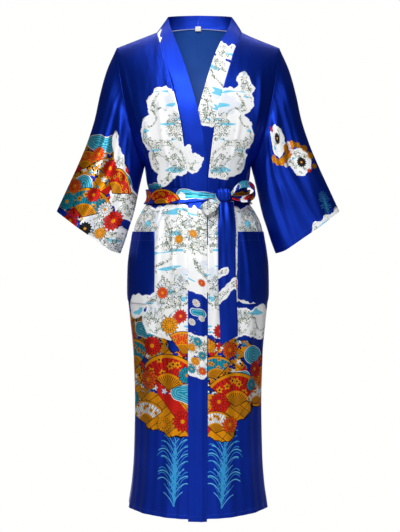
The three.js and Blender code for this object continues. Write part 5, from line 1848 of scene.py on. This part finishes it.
def stitches(name, path, outward, stitch, thread):
    """A row of stitches: one small six-sided spindle for each pitch along the path, raised in its middle."""
    pitch, length, radius = stitch
    steps = np.linalg.norm(np.diff(path, axis=0), axis=1)
    along = np.concatenate([[0], np.cumsum(steps)])
    count = max(2, int(along[-1] / pitch))
    middle = (np.arange(count) + 0.5) * along[-1] / count
    at = np.stack([np.interp(middle, along, path[:, k]) for k in range(3)], axis=-1)
    ahead = np.stack([np.interp(middle + pitch / 4, along, path[:, k]) for k in range(3)], axis=-1) - at
    ahead /= np.maximum(np.linalg.norm(ahead, axis=1, keepdims=True), 1e-12)
    up = np.stack([np.interp(middle, along, outward[:, k]) for k in range(3)], axis=-1)
    up -= ahead * (up * ahead).sum(axis=1, keepdims=True)
    up /= np.linalg.norm(up, axis=1, keepdims=True)
    side = np.cross(ahead, up)
    angles = np.arange(SPINDLE_SIDES) * 2 * np.pi / SPINDLE_SIDES
    ring = np.cos(angles)[None, :, None] * side[:, None, :] + np.sin(angles)[None, :, None] * up[:, None, :]
    rings = [
        at[:, None, :] + ahead[:, None, :] * length * share + radius * size * ring
        for share, size in SPINDLE
    ]
    points = np.stack(rings, axis=1).reshape(-1, 3)
    first = (np.arange(count) * len(SPINDLE) * SPINDLE_SIDES)[:, None]
    *lower, last = (first + SPINDLE_SIDES * n for n in range(len(SPINDLE)))
    j = np.arange(SPINDLE_SIDES)
    k = (j + 1) % SPINDLE_SIDES
    quads = [
        np.stack([start + j, start + SPINDLE_SIDES + j, start + SPINDLE_SIDES + k, start + k], axis=-1)
        for start in lower
    ]
    quads = np.concatenate([q.reshape(-1, 4) for q in quads])
    caps = np.concatenate([first + j, last + j[::-1]])
    mesh = bpy.data.meshes.new(name)
    mesh.from_pydata(points, [], quads[:, ::-1].tolist() + caps.tolist())
    mesh.polygons.foreach_set("use_smooth", np.ones(len(mesh.polygons), bool))
    mesh.materials.append(MATERIALS[thread])
    add_piece(name, mesh, None)


def sew_pocket(name, grid):
    """Stitching 3 mm inside a pocket's three sewn sides, and across its hem."""
    normals, _ = wall_normals(grid, False, body_axis(grid))
    path = np.concatenate([grid[::-1, 1], grid[1, 1:], grid[1:, -2]])
    outward = np.concatenate([normals[::-1, 1], normals[1, 1:], normals[1:, -2]])
    stitches(name, path + outward * STITCH_LIFT, outward, TOP_STITCH, "thread")
    height = arc_length(grid, 0)[:, 0]
    row = int(np.argmin(np.abs(height[-1] - height - POCKET_HEM)))
    path, outward = grid[row, 1:-1], normals[row, 1:-1]
    stitches(name + "_hem", path + outward * STITCH_LIFT, outward, TOP_STITCH, "thread")


def sew_neck():
    """The overlocked seam inside the back neck: a pale cord of thread loops just below the collar's seam."""
    across = np.linspace(-NECK_SHARE, NECK_SHARE, NECK_SEAM_POINTS)
    line = back_panel(across, np.full(len(across), ARMPIT_Z), np.ones(len(across)))
    path = settle(line + np.array([0, -2.6 * MM, -1.5 * MM]))
    outward = np.tile([0.0, -1.0, 0.2], (len(across), 1))
    stitches("neck_overlock", path, outward, OVERLOCK_STITCH, "overlock")


def make_label():
    """The woven label: a small plate bent by a parabola across it and a half sine up it."""
    low, high = (np.array(corner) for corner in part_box("neck_label"))
    rows, count = LABEL_GRID
    u = np.linspace(0, 1, count)[None, :]
    w = np.linspace(0, 1, rows)[:, None]
    x = mix(low[0], high[0], u) + 0 * w
    z = mix(low[2], high[2], w) + 0 * u
    y = low[1] + 0.5 * MM * (2 * u - 1) ** 2 - 0.4 * MM * np.sin(np.pi * w)
    grid = np.stack([x, y, z], axis=-1)
    cut = np.stack([x, z], axis=-1)
    piece = cloth("neck_label_cloth", grid, cut, {}, 0.5 * MM, "neck_label", "label_cloth",
                  centre=grid + (0, 0.5, 0), lining="label_cloth")


# Stage, light and camera

CAMERA_DISTANCE = 2.7
PIXELS_PER_METRE = 367.4
HORIZON_PX = 230
MIDDLE_PX = 198
NECK_PX = 32.6
FRAME_PX = (400, 532)
SWEEP_RADIUS = 1.2
SWEEP_HALF_WIDTH = 1.9
SWEEP_FRONT_Y = -6.0
SWEEP_TOP_Z = 4.0
FLOOR_Z = -1.62
BACK_WALL_Y = 2.6
DIM_STUDIO = 0.035
# Soft boxes: name, place, target, size and watts
LIGHTS = (
    ("key", (-0.5, -2.6, 1.2), (0, 0, -0.24), (1.0, 1.3), 73),
    ("fill", (1.3, -2.6, 0.8), (0.1, 0, -0.28), (0.9, 1.2), 15),
    ("above", (-0.3, -0.9, 2.0), (0, 0, -0.4), (1.4, 0.9), 22),
    ("wall_wash", (0, 1.4, 2.4), (0, 3.8, -0.3), (3.0, 0.8), 120),
)


def make_camera():
    """A level camera: its focal length gives the photo's scale at the middle plane, its shift the horizon."""
    data = bpy.data.cameras.new("camera")
    data.sensor_fit = "VERTICAL"
    data.sensor_height = 24
    focal_px = PIXELS_PER_METRE * CAMERA_DISTANCE
    data.lens = focal_px / FRAME_PX[1] * data.sensor_height
    data.shift_x = (FRAME_PX[0] / 2 - MIDDLE_PX) / FRAME_PX[1]
    data.shift_y = (HORIZON_PX - FRAME_PX[1] / 2) / FRAME_PX[1]
    height = NECK_Z - (HORIZON_PX - NECK_PX) * (CAMERA_DISTANCE + SHOULDER_Y) / focal_px
    camera = bpy.data.objects.new("camera", data)
    camera.location = (0, -CAMERA_DISTANCE, height)
    camera.rotation_euler = (math.pi / 2, 0, 0)
    bpy.context.scene.collection.objects.link(camera)
    bpy.context.scene.camera = camera


def make_stage():
    """A white floor that sweeps up into a back wall, a quarter circle between two planes: bright to the
    camera only, so that it sends no light up the skirt."""
    bend = np.linspace(0, np.pi / 2, 16)
    wall_y = BACK_WALL_Y + SWEEP_RADIUS
    y = np.concatenate([[SWEEP_FRONT_Y], BACK_WALL_Y + SWEEP_RADIUS * np.sin(bend), [wall_y]])
    z = np.concatenate([[FLOOR_Z], FLOOR_Z + SWEEP_RADIUS * (1 - np.cos(bend)), [SWEEP_TOP_Z]])
    x = np.array([-SWEEP_HALF_WIDTH, SWEEP_HALF_WIDTH])
    points = np.stack([np.tile(x, len(y)), np.repeat(y, 2), np.repeat(z, 2)], axis=1)
    i = np.arange(len(y) - 1)[:, None] * 2
    faces = (i + np.array([[0, 1, 3, 2]])).tolist()
    mesh = bpy.data.meshes.new("studio_sweep")
    mesh.from_pydata(points, [], faces)
    mesh.polygons.foreach_set("use_smooth", np.ones(len(faces), bool))
    material, tree = new_material("painted_sweep")
    matt = add(tree, "BsdfDiffuse", (linear(INKS["floor"]),))
    lit = add(tree, "Emission", ((1, 1, 0.99, 1), 1.0))
    add(tree, "OutputMaterial", (add(tree, "MixShader", (add(tree, "LightPath"), matt, lit)),))
    mesh.materials.append(material)
    sweep = bpy.data.objects.new("studio_sweep", mesh)
    bpy.context.scene.collection.objects.link(sweep)


def soft_light(name, place, target, size, power):
    """A large soft box aimed at a point."""
    data = bpy.data.lights.new(name, "AREA")
    data.shape = "RECTANGLE"
    data.size, data.size_y = size
    data.energy = power
    light = bpy.data.objects.new(name, data)
    light.location = place
    light.rotation_euler = (Vector(target) - Vector(place)).to_track_quat("-Z", "Y").to_euler()
    bpy.context.scene.collection.objects.link(light)


def make_light():
    """Large soft boxes round the camera, so that the cloth darkens as it turns away, before a white studio
    that is bright to the camera and dim to the cloth."""
    world = bpy.data.worlds.new("studio")
    world.use_nodes = True
    tree = world.node_tree
    tree.nodes.clear()
    seen = add(tree, "LightPath")
    dim = add(tree, "Background", ((1, 1, 1, 1), DIM_STUDIO))
    bright = add(tree, "Background", ((1, 1, 0.99, 1), 1.0))
    mixed = add(tree, "MixShader", (seen, dim, bright))
    add(tree, "OutputWorld", (mixed,))
    bpy.context.scene.world = world
    for light in LIGHTS:
        soft_light(*light)
    bpy.context.scene.view_settings.view_transform = "Standard"


make_camera()
make_stage()
make_light()

make_back()
make_front("right_front_panel", -1, "right_front", RIGHT_FRONT_PRINT)
make_front("left_front_panel", 1, "left_front", LEFT_FRONT_PRINT)
make_sleeve("right_sleeve_cloth", -1, "right_sleeve", RIGHT_SLEEVE_PRINT)
make_sleeve("left_sleeve_cloth", 1, "left_sleeve", LEFT_SLEEVE_PRINT)
make_band("right_band_cloth", -1, "right_band", RIGHT_BAND_PRINT)
make_band("left_band_cloth", 1, "left_band", LEFT_BAND_PRINT)
right_pocket = make_pocket("right_pocket_patch", -1, RIGHT_POCKET_X, "right_pocket", RIGHT_POCKET_PRINT)
left_pocket = make_pocket("left_pocket_patch", 1, LEFT_POCKET_X, "left_pocket", LEFT_POCKET_PRINT)
make_wrap()
make_knot()
make_tail("sash_tail_over", "belt_tail_over", TAIL_PRINT, TAIL_OVER)
make_tail("sash_tail_under", "belt_tail_under", UNDER_TAIL_PRINT, TAIL_UNDER)
make_loop("sash_bow", "belt_bow", BOW_PRINT, BOW_PATH, (0, 0.88, 0.48), 0.038)
make_loop("sash_folded_end", "belt_fold", FOLD_PRINT, FOLD_PATH, (0.6, 0, -0.8), 0.032)
make_label()
sew_pocket("right_pocket_stitching", right_pocket)
sew_pocket("left_pocket_stitching", left_pocket)
sew_neck()
